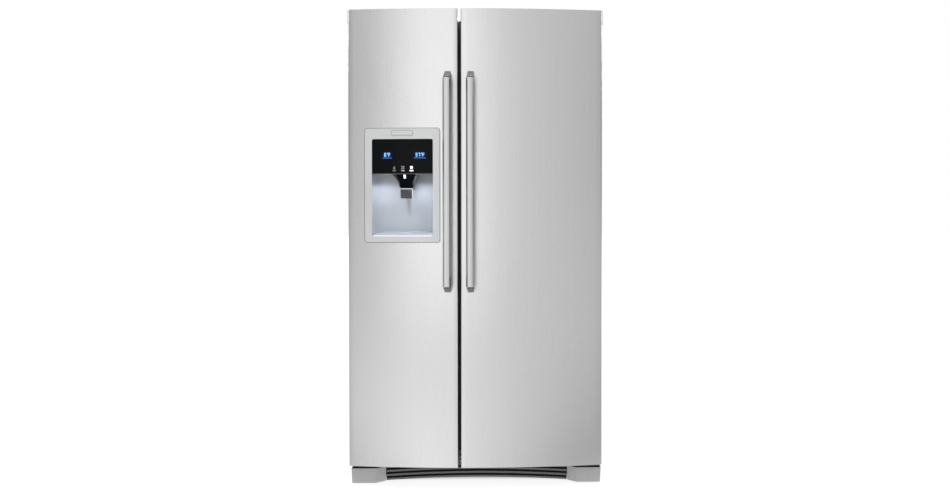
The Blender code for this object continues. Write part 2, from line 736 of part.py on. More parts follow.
def door_skin(door, pivot):
    """Steel tray: front, both sides and bottom. Only the front sheet rises past the hinge's level."""
    outer = prism([door_plan(door.left, door.right, 0.0, DOOR_BACK - LINER)], DOOR_BOTTOM, HEIGHT)
    inner = door_plan(door.left, door.right, SKIN, DOOR_BACK + 0.01)
    hollow = prism([inner], DOOR_BOTTOM + SKIN, HEIGHT + 0.01)
    skin = cut(part(f"{door.name}_door_skin", smooth(outer), "stainless", pivot), hollow)
    beyond = (door.left - 0.01, door.right + 0.01)
    behind = [*front_arc(*beyond, RIM_STEP), (beyond[1], DOOR_BACK + 0.02), (beyond[0], DOOR_BACK + 0.02)]
    cut(skin, prism([behind], CAP_TOP - 0.0035, HEIGHT + 0.01))
    cut(skin, cylinder((door.sign * HINGE_X, HINGE_Y, DOOR_BOTTOM), PIN_RADIUS + 0.0005, 0.02))
    if door is FREEZER_DOOR:
        cut(skin, prism([rectangle(*BEZEL_HOLE)], DOOR_FRONT - 0.02, DOOR_FRONT + 0.04, "Y"))


def raised_outlines(door, shrink):
    """The inner panel's raised border in front view: the border's outline, then its windows."""
    return [rectangle(*door.raised, shrink), *(rectangle(*window, -shrink) for window in door.windows)]


def door_core(door, pivot):
    """Foam that fills the skin and the inner panel's raised border."""
    inset = SKIN + CLEAR
    back = DOOR_BACK - LINER - CLEAR
    low, high = DOOR_BOTTOM + inset, HEIGHT - CAP_HEIGHT + 0.0045
    block = prism([door_plan(door.left, door.right, inset, back)], low, high)
    core = part(f"{door.name}_door_core", block, "foam", pivot)
    border = prism(raised_outlines(door, INNER), back - 0.005, RAISED_TO - INNER, "Y")
    join(core, border)
    cut(core, cylinder((door.sign * HINGE_X, HINGE_Y, low), PIN_RADIUS + 0.0005, 0.05))
    if door is FREEZER_DOOR:
        cut(core, prism([front_pocket(0.008)], BEZEL_HOLE[1] - CLEAR, BEZEL_HOLE[3] + CLEAR))
        around = niche_plan(NICHE_WALL + CLEAR)
        cut(core, prism([around], RECESS[1] - NICHE_WALL - CLEAR, PANEL_BOTTOM + CLEAR))


def front_pocket(depth):
    """Plan of a shallow pocket behind the skin, as wide as the bezel's hole."""
    left, right = BEZEL_HOLE[0] - CLEAR, BEZEL_HOLE[2] + CLEAR
    return [*front_arc(left, right, -0.005), *front_arc(left, right, depth)[::-1]]


def door_liner(door, pivot):
    """Moulded inner panel with its raised border."""
    left, right = door.left + SKIN + CLEAR, door.right - SKIN - CLEAR
    low, high = DOOR_BOTTOM + SKIN + CLEAR, HEIGHT - CAP_HEIGHT + 0.0045
    sheet = prism([rectangle(left, low, right, high)], DOOR_BACK - LINER, DOOR_BACK, "Y")
    panel = part(f"{door.name}_door_liner", sheet, "white_liner", pivot)
    join(panel, prism(raised_outlines(door, 0.0), DOOR_BACK - LINER + 0.0005, RAISED_TO, "Y"))
    cut(panel, prism(raised_outlines(door, LINER), DOOR_BACK - 0.01, RAISED_TO - LINER, "Y"))


def door_cap(door, pivot):
    """Plastic top cap: a block in the door's top, a rim behind the front sheet and a side skirt."""
    inset = SKIN + CLEAR
    low, shoulder = HEIGHT - CAP_HEIGHT + 0.0045 + CLEAR, CAP_TOP - 0.0035 + CLEAR
    block = prism([door_plan(door.left, door.right, inset, DOOR_BACK)], low, HEIGHT - CLEAR)
    cap = part(f"{door.name}_door_cap", block, "grey_plastic", pivot)
    beyond = (door.left - 0.01, door.right + 0.01)
    behind = [*front_arc(*beyond, RIM_DEPTH), (beyond[1], DOOR_BACK + 0.02), (beyond[0], DOOR_BACK + 0.02)]
    cut(cap, prism([behind], CAP_TOP, HEIGHT + 0.01))
    edge, proud = door.sign * SKIN_HALF, door.sign * HALF_WIDTH
    skirt_front = front_y(SKIN_HALF, RIM_STEP + CLEAR)
    skirt_x = sorted((edge + door.sign * CLEAR, proud))
    skirt_low = (skirt_x[0], skirt_front, HEIGHT - CAP_HEIGHT)
    join(cap, box(skirt_low, (skirt_x[1], DOOR_BACK - 0.0005, CAP_TOP)))
    bridge_x = sorted((edge - door.sign * 0.006, proud - door.sign * 0.0002))
    bridge_low = (bridge_x[0], skirt_front + 0.0004, shoulder)
    join(cap, box(bridge_low, (bridge_x[1], DOOR_BACK - 0.001, CAP_TOP - 0.0002)))
    rim_low = (bridge_x[0], skirt_front + 0.0002, CAP_TOP - 0.002)
    join(cap, box(rim_low, (bridge_x[1], front_y(SKIN_HALF, RIM_DEPTH), HEIGHT - 0.0006)))
    cut(cap, cylinder((door.sign * HINGE_X, HINGE_Y, CAP_TOP), PIN_RADIUS + 0.0005, 0.08))


def door_gasket(door, pivot):
    """Magnetic seal around the door's back, against the cabinet's flange."""
    if door is FREEZER_DOOR:
        left, right = -0.4345, DOOR_GAP_X - DOOR_GAP / 2 - 0.0025
    else:
        left, right = DOOR_GAP_X + DOOR_GAP / 2 + 0.0025, 0.4345
    ring = [rectangle(left, 0.122, right, 1.672, shrink) for shrink in (0.0, GASKET_WIDTH)]
    band = prism(ring, DOOR_BACK + CLEAR, CASE_FRONT - CLEAR, "Y")
    seal = part(f"{door.name}_door_gasket", band, "rubber", pivot)
    groove = [rectangle(left, 0.122, right, 1.672, shrink) for shrink in (-0.002, 0.0025)]
    cut(seal, prism(groove, DOOR_BACK + 0.004, DOOR_BACK + 0.0075, "Y"))


def handle(door, pivot):
    """Bar with a bright flat face and sloped sides, on two tapered end mounts."""
    x = DOOR_GAP_X + door.sign * HANDLE_OFFSET
    half, face = HANDLE_WIDTH / 2, HANDLE_FACE / 2
    outline = [
        (x - face, HANDLE_FRONT + 0.0008),
        (x - face / 2, HANDLE_FRONT + 0.0002),
        (x, HANDLE_FRONT),
        (x + face / 2, HANDLE_FRONT + 0.0002),
        (x + face, HANDLE_FRONT + 0.0008),
        (x + half - 0.0006, HANDLE_FRONT + 0.0075),
        (x + half, HANDLE_FRONT + 0.0095),
        (x + half - 0.002, HANDLE_BACK - 0.002),
        (x + half - 0.005, HANDLE_BACK),
        (x - half + 0.005, HANDLE_BACK),
        (x - half + 0.002, HANDLE_BACK - 0.002),
        (x - half, HANDLE_FRONT + 0.0095),
        (x - half + 0.0006, HANDLE_FRONT + 0.0075),
    ]
    bar = prism([outline], HANDLE_LOW + HANDLE_CLEAR, HANDLE_HIGH - HANDLE_CLEAR)
    part(f"{door.name}_handle_bar", smooth(bar), "bright_steel", pivot)
    foot = front_y(x - half if door.sign < 0 else x + half) - CLEAR - 0.0004
    foot = min(foot, front_y(x) - CLEAR)
    for place, end, tip, way in (
        ("upper", HANDLE_HIGH, MOUNT_HIGH, 1),
        ("lower", HANDLE_LOW, MOUNT_LOW, -1),
    ):
        side = [
            (HANDLE_FRONT + 0.0006, end),
            (HANDLE_FRONT + 0.0006, end + way * 0.0035),
            (foot, tip),
            (foot, end - way * 0.026),
            (HANDLE_BACK + HANDLE_CLEAR, end - way * 0.034),
            (HANDLE_BACK + HANDLE_CLEAR, end),
        ]
        mount = prism([side], x - half, x + half, "X")
        for vertex in mount.vertices:
            share = (vertex.co.y - HANDLE_FRONT) / (foot - HANDLE_FRONT)
            width = MOUNT_WIDTH + (MOUNT_FOOT - MOUNT_WIDTH) * share
            vertex.co.x = x + (vertex.co.x - x) * width / HANDLE_WIDTH
        soften(part(f"{door.name}_handle_mount_{place}", mount, "dark_metal", pivot), 0.0015, 2, 30)


def open_bin(name, low, high, finish, pivot, wall=0.0025, front_drop=0.0, rim=0.0):
    """An open-topped bin or drawer, with a side rim to slide on."""
    (left, front, floor), (right, back, top) = low, high
    shell = part(name, box(low, high), finish, pivot)
    cut(shell, box((left + wall, front + wall, floor + wall), (right - wall, back - wall, top + 0.02)))
    for inner, outer in ((left + 0.001, left - rim), (right - 0.001, right + rim)) if rim else ():
        span = sorted((inner, outer))
        rail = box((span[0], front + 0.004, top - RIM_THICK - 0.0005), (span[1], back - 0.004, top - 0.0005))
        join(shell, rail)
    if front_drop:
        cut(shell, box((left + 0.02, back - 0.01, top - front_drop), (right - 0.02, back + 0.01, top + 0.02)))
    return shell


def door_bin(name, window, low_z, high_z, pivot, front_drop=0.0):
    """A bin hung between the raised border's sides."""
    low = (window[0] + 0.0006, DOOR_BACK + CLEAR, low_z)
    high = (window[2] - 0.0006, -0.180, high_z)
    return open_bin(name, low, high, "clear_plastic", pivot, front_drop=front_drop)


def dairy_compartment(pivot):
    """A door bin with a lid that swings up."""
    window = FRIDGE_DOOR.windows[0]
    door_bin("dairy_bin", window, 1.400, 1.497, pivot)
    hinge_y, hinge_z = -0.2825, 1.545
    axis = pivot_at("dairy_lid_axis", ((window[0] + window[2]) / 2, hinge_y, hinge_z), pivot)
    left, right = window[0] + 0.002, window[2] - 0.002
    side = [
        (hinge_y - 0.003, hinge_z - 0.002),
        (hinge_y + 0.003, hinge_z + 0.003),
        (-0.188, 1.512),
        (-0.1775, 1.504),
        (-0.1775, 1.470),
        (-0.1795, 1.470),
        (-0.1795, 1.502),
        (-0.189, 1.5095),
        (hinge_y + 0.003, hinge_z - 0.003),
    ]
    part("dairy_lid", prism([side], left, right, "X"), "clear_plastic", axis)


# Dispenser.


def dispenser_bezel(pivot):
    """Frame around the dispenser, a little proud of the door, with a collar through the skin."""
    front = [*front_arc(BEZEL[0], BEZEL[2], -BEZEL_PROUD), *front_arc(BEZEL[0], BEZEL[2], -CLEAR)[::-1]]
    plate = prism([front], BEZEL[1], BEZEL[3])
    bezel = part("dispenser_bezel", smooth(plate), "silver_plastic", pivot)
    rim = prism([rounded(*BEZEL, 0.009)], DOOR_FRONT - 0.02, DOOR_FRONT + 0.05, "Y")
    combine(bezel, rim, "INTERSECT")
    inner = [edge + way * 0.0006 for edge, way in zip(BEZEL_HOLE, (1, 1, -1, -1))]
    collar = front_arc(inner[0], inner[2], -BEZEL_PROUD + 0.0006)
    collar += front_arc(inner[0], inner[2], BEZEL_DEPTH)[::-1]
    join(bezel, prism([collar], inner[1], inner[3]))
    half = (RECESS[2] - RECESS[0]) / 2
    opening = [(DISPENSER_X + x, z) for x, z in arch(half, RECESS[1], RECESS[3], 0.006)]
    cut(bezel, prism([opening], DOOR_FRONT - 0.02, DOOR_FRONT + 0.05, "Y"))
    badge = [*front_arc(BADGE[0], BADGE[2], -BEZEL_PROUD - 0.0008, 6)]
    badge += front_arc(BADGE[0], BADGE[2], -BEZEL_PROUD + 0.0006, 6)[::-1]
    join(bezel, prism([badge], BADGE[1], BADGE[3]))


def display_panel(pivot):
    """Black glass front of the controls, in the top of the recess."""
    left, right = RECESS[0] + CLEAR, RECESS[2] - CLEAR
    plan = [*front_arc(left, right, 0.001), *front_arc(left, right, 0.006)[::-1]]
    sheet = smooth(prism([plan], PANEL_BOTTOM, RECESS[3] - CLEAR))
    glass = part("display_panel", sheet, "black_gloss", pivot)
    outline = rounded(left, PANEL_BOTTOM - 0.02, right, RECESS[3] - CLEAR, 0.006)
    combine(glass, prism([outline], DOOR_FRONT - 0.02, DOOR_FRONT + 0.05, "Y"), "INTERSECT")


def dispenser_niche(pivot):
    """Moulded hollow that a glass stands in."""
    low, high = RECESS[1] - NICHE_WALL, PANEL_BOTTOM - CLEAR
    outer = smooth(prism([niche_plan(NICHE_WALL)], low, high))
    shell = part("dispenser_niche", outer, "niche_plastic", pivot)
    cut(shell, prism([ahead_of(BEZEL_DEPTH + CLEAR)], low - 0.01, high + 0.01))
    hollow = niche_plan(0.0)
    cut(shell, prism([hollow], RECESS[1], high - NICHE_WALL))


def dispenser_chute(pivot):
    """Funnel that ice and water fall through."""
    high, low = PANEL_BOTTOM - NICHE_WALL - 2 * CLEAR, CHUTE_TIP
    funnel = loft(((0.100, -0.340, -0.286, high), (0.053, -0.309, -0.279, low)))
    chute = part("dispenser_chute", funnel, "dark_plastic", pivot)
    soften(chute, 0.003, 2)
    cut(chute, loft(((0.076, -0.328, -0.296, high - 0.012), (0.032, -0.303, -0.285, low - 0.002))))


def loft(sections):
    """A block between two level rectangles about the middle of the chute.

    Each rectangle is (width, front, back, height).
    """
    (wide, front, back, high), (narrow, tip_front, tip_back, low) = sections
    mesh = box((CHUTE_X - wide / 2, front, low), (CHUTE_X + wide / 2, back, high))
    for vertex in mesh.vertices:
        if vertex.co.z < (low + high) / 2:
            vertex.co.x = CHUTE_X + (vertex.co.x - CHUTE_X) * narrow / wide
            vertex.co.y = tip_front if vertex.co.y < (front + back) / 2 else tip_back
    return mesh


def dispenser_paddle(pivot):
    """Lever that a glass pushes back."""
    y, z = PADDLE_PIVOT
    axis = pivot_at("dispenser_paddle_axis", (CHUTE_X, y, z), pivot)
    side = [
        (y - 0.018, z - 0.0090),
        (y - 0.018, z - 0.0440),
        (y - 0.014, z - 0.0445),
        (y - 0.012, z - 0.0120),
        (y + 0.003, z - 0.0085),
        (y + 0.003, z - 0.0055),
        (y - 0.012, z - 0.0060),
    ]
    plate = prism([side], CHUTE_X - PADDLE_HALF, CHUTE_X + PADDLE_HALF, "X")
    soften(part("dispenser_paddle", plate, "dark_plastic", axis), 0.0008, 2)


def drip_tray(pivot):
    """Floor of the niche: a bowl-shaped tray that slopes down to the front."""
    low, high = RECESS[1] + CLEAR, 0.924
    axis = pivot_at("drip_tray_axis", (DISPENSER_X, NICHE_BEND, low), pivot)
    tray = part("drip_tray", prism([niche_plan(-0.0006)], low, high), "silver_plastic", axis)
    cut(tray, prism([ahead_of(BEZEL_DEPTH + 2 * CLEAR)], low - 0.01, high + 0.01))
    front, back = DOOR_FRONT, NICHE_BACK + 0.01
    slope = [(front, low + 0.0010), (back, high + 0.0015), (back, high + 0.02), (front, high + 0.02)]
    cut(tray, prism([slope], RECESS[0] - 0.01, RECESS[2] + 0.01, "X"))


# Interior.


def shelf(name, pocket, top):
    """Glass shelf with a thick front rail."""
    left, right = pocket[0] + INNER + 0.0006, pocket[1] - INNER - 0.0006
    pane = part(name, box((left, SHELF_FRONT, top - PANE), (right, SHELF_BACK, top)), "shelf_glass")
    soften(pane, 0.0012, 1)
    rail_low = (left + 0.007, SHELF_FRONT - 0.004, top - 3 * PANE)
    join(pane, box(rail_low, (right - 0.007, SHELF_FRONT + 0.004, top - 0.001)))


def drawer(name, pocket, low_z, high_z, back, finish):
    """Drawer that slides out on the liner's ledges."""
    low = (pocket[0] + INNER + 0.0085, DRAWER_FRONT, low_z)
    high = (pocket[1] - INNER - 0.0085, back, high_z)
    axis = pivot_at(f"{name}_axis", ((low[0] + high[0]) / 2, DRAWER_FRONT, high_z))
    open_bin(name, low, high, finish, axis, rim=0.0075)


def ice_maker():
    """Mould tray and its motor housing, on the liner's left wall."""
    left = FREEZER_POCKET[0] + INNER + CLEAR
    body = part("ice_maker", box((left, 0.040, 1.520), (-0.290, 0.300, 1.600)), "grey_plastic")
    soften(body, 0.004, 2)
    cut(body, box((left + 0.012, 0.100, 1.545), (-0.302, 0.288, 1.620)))


def ice_bucket():
    low = (FREEZER_POCKET[0] + INNER + 0.010, -0.110, 1.2905)
    high = (FREEZER_POCKET[1] - INNER - 0.010, 0.330, 1.470)
    axis = pivot_at("ice_bucket_axis", ((low[0] + high[0]) / 2, low[1], low[2]))
    bucket = open_bin("ice_bucket", low, high, "clear_plastic", axis, wall=0.003)
    cut(bucket, box((DISPENSER_X - 0.035, low[1] + 0.010, 1.280), (DISPENSER_X + 0.035, -0.040, 1.300)))


def build():
    cabinet_wrapper()
    insulation_foam()
    under_rail = RIM_THICK + 0.0005 + CLEAR
    drawer_backs = {"lower": STEP_BACK - 0.010, "upper": SHELF_BACK - 0.005}
    ledges = [(top - under_rail, drawer_backs[place]) for place, top in DRAWER_TOPS.items()]
    for name, pocket, tops in (
        ("freezer_liner", FREEZER_POCKET, [FREEZER_SHELF_TOP]),
        ("fridge_liner", FRIDGE_POCKET, FRIDGE_SHELF_TOPS.values()),
    ):
        liner(name, pocket, [*ledges, *((top - PANE - CLEAR, SHELF_BACK) for top in tops)])
    rear_panel()
    base_frame()
    compressor()
    condenser_coil()
    condenser_fan()
    toe_grille()
    for side, sign in SIDES:
        base_corner(side, sign)
        leveling_leg(side, sign)
        rear_roller(side, sign)
        upper_hinge(side, sign)
        hinge_cover(side, sign)
        lower_hinge(side, sign)

    shelf("freezer_shelf", FREEZER_POCKET, FREEZER_SHELF_TOP)
    for place, top in FRIDGE_SHELF_TOPS.items():
        shelf(f"fridge_shelf_{place}", FRIDGE_POCKET, top)
    for place, top in DRAWER_TOPS.items():
        low, back = DRAWER_FLOORS[place], drawer_backs[place]
        drawer(f"freezer_basket_{place}", FREEZER_POCKET, low, top, back, "white_liner")
        drawer(f"crisper_{place}", FRIDGE_POCKET, low, top, back, "clear_plastic")
    ice_maker()
    ice_bucket()

    for door in (FREEZER_DOOR, FRIDGE_DOOR):
        pivot = pivot_at(f"{door.name}_door_axis", (door.sign * HINGE_X, HINGE_Y, DOOR_BOTTOM))
        door_skin(door, pivot)
        door_core(door, pivot)
        door_liner(door, pivot)
        door_cap(door, pivot)
        door_gasket(door, pivot)
        handle(door, pivot)
        if door is FREEZER_DOOR:
            dispenser_bezel(pivot)
            display_panel(pivot)
            dispenser_niche(pivot)
            dispenser_chute(pivot)
            dispenser_paddle(pivot)
            drip_tray(pivot)
            door_bin("freezer_door_bin_lower", door.windows[0], 0.650, 0.790, pivot, 0.020)
            door_bin("freezer_door_bin_upper", door.windows[1], 1.335, 1.455, pivot, 0.020)
        else:
            dairy_compartment(pivot)
            door_bin("fridge_door_bin_upper", door.windows[0], 1.060, 1.190, pivot, 0.020)
            door_bin("fridge_door_bin_lower", door.windows[0], 0.690, 0.840, pivot, 0.020)


clear_scene()
parts = new_collection("side_by_side_refrigerator")
cutters = new_collection("cutters")
build()
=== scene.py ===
"""The finished look of the side by side refrigerator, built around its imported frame.

Metres, +Z up. The doors face -Y, and the floor is z = 0. Places come from the frame's boxes.
"""

import json
from math import cos, pi, radians, sin, sqrt

import bmesh
import bpy
from mathutils import Matrix, Vector

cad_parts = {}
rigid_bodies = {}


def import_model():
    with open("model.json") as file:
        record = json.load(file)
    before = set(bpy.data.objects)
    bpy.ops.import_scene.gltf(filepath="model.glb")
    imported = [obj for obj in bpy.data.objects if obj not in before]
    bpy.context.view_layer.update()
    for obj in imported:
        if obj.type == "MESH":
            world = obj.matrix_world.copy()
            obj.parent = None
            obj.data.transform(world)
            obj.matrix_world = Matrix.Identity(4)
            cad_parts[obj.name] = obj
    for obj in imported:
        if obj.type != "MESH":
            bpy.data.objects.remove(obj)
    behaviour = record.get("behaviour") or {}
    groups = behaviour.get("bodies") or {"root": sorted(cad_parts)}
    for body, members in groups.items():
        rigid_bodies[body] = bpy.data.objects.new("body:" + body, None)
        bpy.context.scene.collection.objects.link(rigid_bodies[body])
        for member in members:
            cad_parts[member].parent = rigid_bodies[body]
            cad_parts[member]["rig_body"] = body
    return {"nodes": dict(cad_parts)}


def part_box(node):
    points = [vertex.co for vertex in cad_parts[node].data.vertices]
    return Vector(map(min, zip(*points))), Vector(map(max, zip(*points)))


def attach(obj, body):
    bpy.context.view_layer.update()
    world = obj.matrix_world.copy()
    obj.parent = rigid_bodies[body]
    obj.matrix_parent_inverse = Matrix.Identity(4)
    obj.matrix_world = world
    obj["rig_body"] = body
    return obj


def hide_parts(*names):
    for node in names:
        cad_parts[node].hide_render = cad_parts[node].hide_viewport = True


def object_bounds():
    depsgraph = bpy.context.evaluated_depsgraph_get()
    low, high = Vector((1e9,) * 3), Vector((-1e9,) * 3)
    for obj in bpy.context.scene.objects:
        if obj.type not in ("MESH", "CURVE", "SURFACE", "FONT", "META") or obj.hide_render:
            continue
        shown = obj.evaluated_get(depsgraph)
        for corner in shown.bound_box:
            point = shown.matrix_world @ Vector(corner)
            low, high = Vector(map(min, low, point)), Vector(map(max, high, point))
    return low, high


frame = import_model()
nodes = frame["nodes"]
cad_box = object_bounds()

# The view.
CAMERA_PLACE = (0.151, -3.672, 1.010)
CAMERA_TURN = (radians(89.36), radians(0.02), radians(-0.95))
CAMERA_LENS = 35.0
CAMERA_SHIFT = (-0.0608, -0.0297)

# The doors' shared front arc: how far it bulges over the doors' full width.
DOOR_BULGE = 0.033
HALF_WIDTH = cad_box[1].x
DOOR_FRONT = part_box("fridge_door_skin")[0].y
ARC_RADIUS = (HALF_WIDTH**2 + DOOR_BULGE**2) / (2 * DOOR_BULGE)
ARC_CENTRE = DOOR_FRONT + ARC_RADIUS

# The gap left between pieces that lie on each other.
HAIR = 0.0001

# The display's marks: their thickness, and how far behind the door's front arc they lie.
PRINT, MARK_INSET = 0.0003, 0.001

# Edges sharper than these angles, in degrees, stay sharp or take a bevel.
SHARP_ANGLE = 30
BEVEL_ANGLE = 32

# The dispenser: how far the funnel leans back over its height, how far the badge's ends stand in
# from the bezel's, and each niche lamp's power, place across and place along Y.
CHUTE_LEAN = 0.031
BADGE_INSET = 0.097
NICHE_WATTS = 0.72
NICHE_LAMP_X, NICHE_LAMP_Y = 0.052, -0.342

# A base corner cover's front: its outer end, where it turns back towards the grille, how steeply and how far.
COVER_END, COVER_CORNER, COVER_SLOPE, COVER_TURN = 0.4525, 0.366, 0.824, 0.026

# The toe grille's bow and depth, the height of a rib, and the step from one rib to the next.
GRILLE_BOW, GRILLE_DEPTH = 0.0375, 0.011
GRILLE_RIB, GRILLE_STEP, GRILLE_GAPS = 0.0072, 0.0150, 5

# How far a lamp in a roof hangs below the outside of its lining.
LAMP_DROP = 0.0035

# The compartments: the air panels' depth and place before the liners' backs, and each lamp's power.
PANEL_DEPTH, PANEL_OFFSET = 0.0062, 0.0027
LAMP_WATTS = {"freezer": 1.1, "fridge": 1.05}

# The rear sheet: how far its face stands in from its box, its lowest row of screws, and their heads.
SHEET_INSET = 0.0018
SCREW_FLOOR = 0.340
SCREW_RADIUS = 0.0048


# Materials.

SOCKETS = {
    "metallic": "Metallic",
    "roughness": "Roughness",
    "anisotropic": "Anisotropic",
    "specular": "Specular IOR Level",
}


class Look:
    """A material and its node tree. Each call that adds a node returns that node's output."""

    def __init__(self, name, **fixed):
        self.material = bpy.data.materials.new(name)
        self.material.use_nodes = True
        self.tree = self.material.node_tree
        self.shader = self.tree.nodes["Principled BSDF"]
        for socket, value in fixed.items():
            self.shader.inputs[SOCKETS[socket]].default_value = value
        self.place = self.tree.nodes.new("ShaderNodeTexCoord").outputs["Object"]

    def add(self, kind, links=(), **settings):
        node = self.tree.nodes.new(kind)
        for name, value in settings.items():
            setattr(node, name, value)
        for name, value in dict(links).items():
            self.feed(node.inputs[name], value)
        return node

    def feed(self, socket, value):
        if isinstance(value, bpy.types.NodeSocket):
            self.tree.links.new(value, socket)
        else:
            socket.default_value = value

    def stretched(self, stretch):
        return self.add("ShaderNodeMapping", {"Vector": self.place, "Scale": stretch}).outputs[0]

    def noise(self, stretch, detail=2.0, roughness=0.5):
        """Noise with this many cells per metre along each axis."""
        links = {"Vector": self.stretched(stretch), "Scale": 1.0, "Detail": detail, "Roughness": roughness}
        return self.add("ShaderNodeTexNoise", links).outputs[0]

    def cells(self, stretch, output="Distance"):
        links = {"Vector": self.stretched(stretch), "Scale": 1.0}
        return self.add("ShaderNodeTexVoronoi", links).outputs[output]

    def spread(self, value, low, high, start=0.3, stop=0.7):
        """Carries a value's usual range, start to stop, to low..high."""
        links = {"Value": value, "From Min": start, "From Max": stop, "To Min": low, "To Max": high}
        return self.add("ShaderNodeMapRange", links).outputs[0]

    def maths(self, operation, *values):
        return self.add("ShaderNodeMath", dict(enumerate(values)), operation=operation).outputs[0]

    def sum(self, first, second):
        return self.maths("ADD", first, second)

    def scale(self, value, factor):
        return self.maths("MULTIPLY", value, factor)

    def blend(self, factor, first, second):
        return self.add("ShaderNodeMix", {0: factor, 2: first, 3: second}, data_type="FLOAT").outputs[0]

    def tint(self, factor, first, second):
        """A mix of two colours, each a tuple or another node's output."""
        node = self.add("ShaderNodeMix", data_type="RGBA")
        self.feed(node.inputs[0], factor)
        for socket, value in ((6, first), (7, second)):
            self.feed(node.inputs[socket], (*value, 1.0) if isinstance(value, tuple) else value)
        return node.outputs[2]

    def colour(self, value):
        self.feed(self.shader.inputs["Base Color"], value)

    def rough(self, value):
        self.feed(self.shader.inputs["Roughness"], value)

    def glow(self, colour, strength):
        self.feed(self.shader.inputs["Emission Color"], (*colour, 1.0))
        self.feed(self.shader.inputs["Emission Strength"], strength)

    def edges(self):
        return self.add("ShaderNodeNewGeometry").outputs["Pointiness"]

    def bump(self, height, distance):
        links = {"Height": height, "Distance": distance}
        under = self.shader.inputs["Normal"]
        if under.is_linked:
            links["Normal"] = under.links[0].from_socket
        self.feed(under, self.add("ShaderNodeBump", links).outputs[0])


def shade(colour, factor):
    return tuple(min(channel * factor, 1.0) for channel in colour)


def worn(look, base, lighter, amount):
    """Edges rubbed lighter, broken up by noise."""
    rub = look.spread(look.edges(), 0.0, amount, start=0.52, stop=0.62)
    patch = look.spread(look.noise((45, 45, 45), detail=4), 0.2, 1.0)
    return look.tint(look.scale(rub, patch), base, lighter)


def brushed_steel(name, colour, low, high, anisotropic):
    """Satin steel, brushed up and down, with a little wear in broad patches."""
    look = Look(name, metallic=1.0, anisotropic=anisotropic)
    tangent = look.add("ShaderNodeTangent", direction_type="RADIAL", axis="Z").outputs[0]
    look.feed(look.shader.inputs["Tangent"], tangent)
    fine = look.noise((1400, 1400, 7), detail=3)
    band = look.noise((170, 170, 1.1), detail=4, roughness=0.6)
    cloud = look.noise((4, 4, 3), detail=3)
    grain = look.sum(look.scale(fine, 0.70), look.scale(band, 0.30))
    pale = look.spread(grain, 0.0, 1.0, start=0.38, stop=0.62)
    steel = look.tint(pale, shade(colour, 0.97), shade(colour, 1.03))
    look.colour(look.tint(look.spread(cloud, 0.0, 0.25), steel, shade(colour, 0.98)))
    streak = look.spread(grain, low, high, start=0.36, stop=0.64)
    look.rough(look.sum(streak, look.spread(cloud, -0.010, 0.015)))
    look.bump(fine, 0.00002)
    look.bump(band, 0.00001)
    return look.material


def painted(name, colour, roughness, pebble, height, metallic=0.0):
    """Paint with an orange-peel or pebbled skin, tinted lighter on the skin's raised tops as a painted
    highlight, and rubbed lighter along its edges.
    """
    look = Look(name, metallic=metallic)
    skin = look.noise((pebble, pebble, pebble), detail=3, roughness=0.6)
    cloud = look.noise((5, 5, 5), detail=4)
    paint = look.tint(look.spread(cloud, 0.0, 1.0), shade(colour, 0.9), shade(colour, 1.1))
    # The skin's raised tops are tinted lighter: a painted highlight on the pebbles.
    raised = look.spread(skin, 0.0, 0.35, start=0.5, stop=0.75)
    pebble_highlight = look.tint(raised, paint, shade(colour, 1.35))
    look.colour(worn(look, pebble_highlight, shade(colour, 2.2), 0.5))
    grain = look.spread(skin, roughness - 0.06, roughness + 0.06)
    look.rough(look.sum(grain, look.spread(cloud, -0.04, 0.04)))
    look.bump(skin, height)
    return look.material


def moulded(name, colour, roughness, height=0.00003, rub=0.25, **fixed):
    """Moulded plastic: faint cloudiness, a fine grain and softly worn edges."""
    look = Look(name, **fixed)
    skin = look.noise((900, 900, 900))
    cloud = look.noise((7, 7, 4), detail=4)
    plastic = look.tint(look.spread(cloud, 0.0, 1.0), shade(colour, 0.96), shade(colour, 1.03))
    look.colour(worn(look, plastic, shade(colour, 1.25), rub))
    grain = look.spread(skin, roughness - 0.03, roughness + 0.03)
    look.rough(look.sum(grain, look.spread(cloud, -0.03, 0.05)))
    look.bump(skin, height)
    return look.material


def glassy(name, colour, alpha, roughness=0.05):
    """Thin clear plastic or glass, with faint scuffs and a slight haze."""
    look = Look(name, specular=0.5)
    scuff = look.noise((60, 60, 400), detail=4)
    cloud = look.noise((9, 9, 9), detail=3)
    look.colour(look.tint(look.spread(cloud, 0.0, 1.0), shade(colour, 0.96), shade(colour, 1.03)))
    look.rough(look.spread(scuff, roughness, roughness + 0.12, start=0.45, stop=0.75))
    rim = look.spread(look.edges(), 0.0, 0.30, start=0.51, stop=0.58)
    look.feed(look.shader.inputs["Alpha"], look.sum(look.spread(scuff, alpha, alpha + 0.10), rim))
    return look.material


def lit(name, colour, strength):
    """A glowing surface, brighter in patches: a lamp's lens, a lit mark, and on the niche's sill a painted
    highlight.
    """
    look = Look(name, roughness=0.3)
    ripple = look.noise((500, 500, 500))
    look.colour(look.tint(look.spread(ripple, 0.0, 1.0), shade(colour, 0.9), colour))
    look.glow(colour, look.spread(ripple, strength * 0.75, strength))
    return look.material


def halo(name, colour, strength):
    """A soft glow in dark glass, fading to nothing at the patch's edge."""
    look = Look(name, roughness=0.07, specular=0.04)
    middle = look.add("ShaderNodeTexCoord").outputs["Generated"]
    across = {"Vector": middle, "Location": (-1, 0, -1), "Scale": (2, 0, 2)}
    centred = look.add("ShaderNodeMapping", across).outputs[0]
    fade = look.add("ShaderNodeTexGradient", {"Vector": centred}, gradient_type="QUADRATIC_SPHERE").outputs[1]
    grain = look.noise((900, 900, 900))
    look.colour(look.tint(look.spread(grain, 0.0, 1.0), (0.005, 0.006, 0.008), (0.007, 0.008, 0.010)))
    look.glow(colour, look.scale(fade, strength))
    return look.material


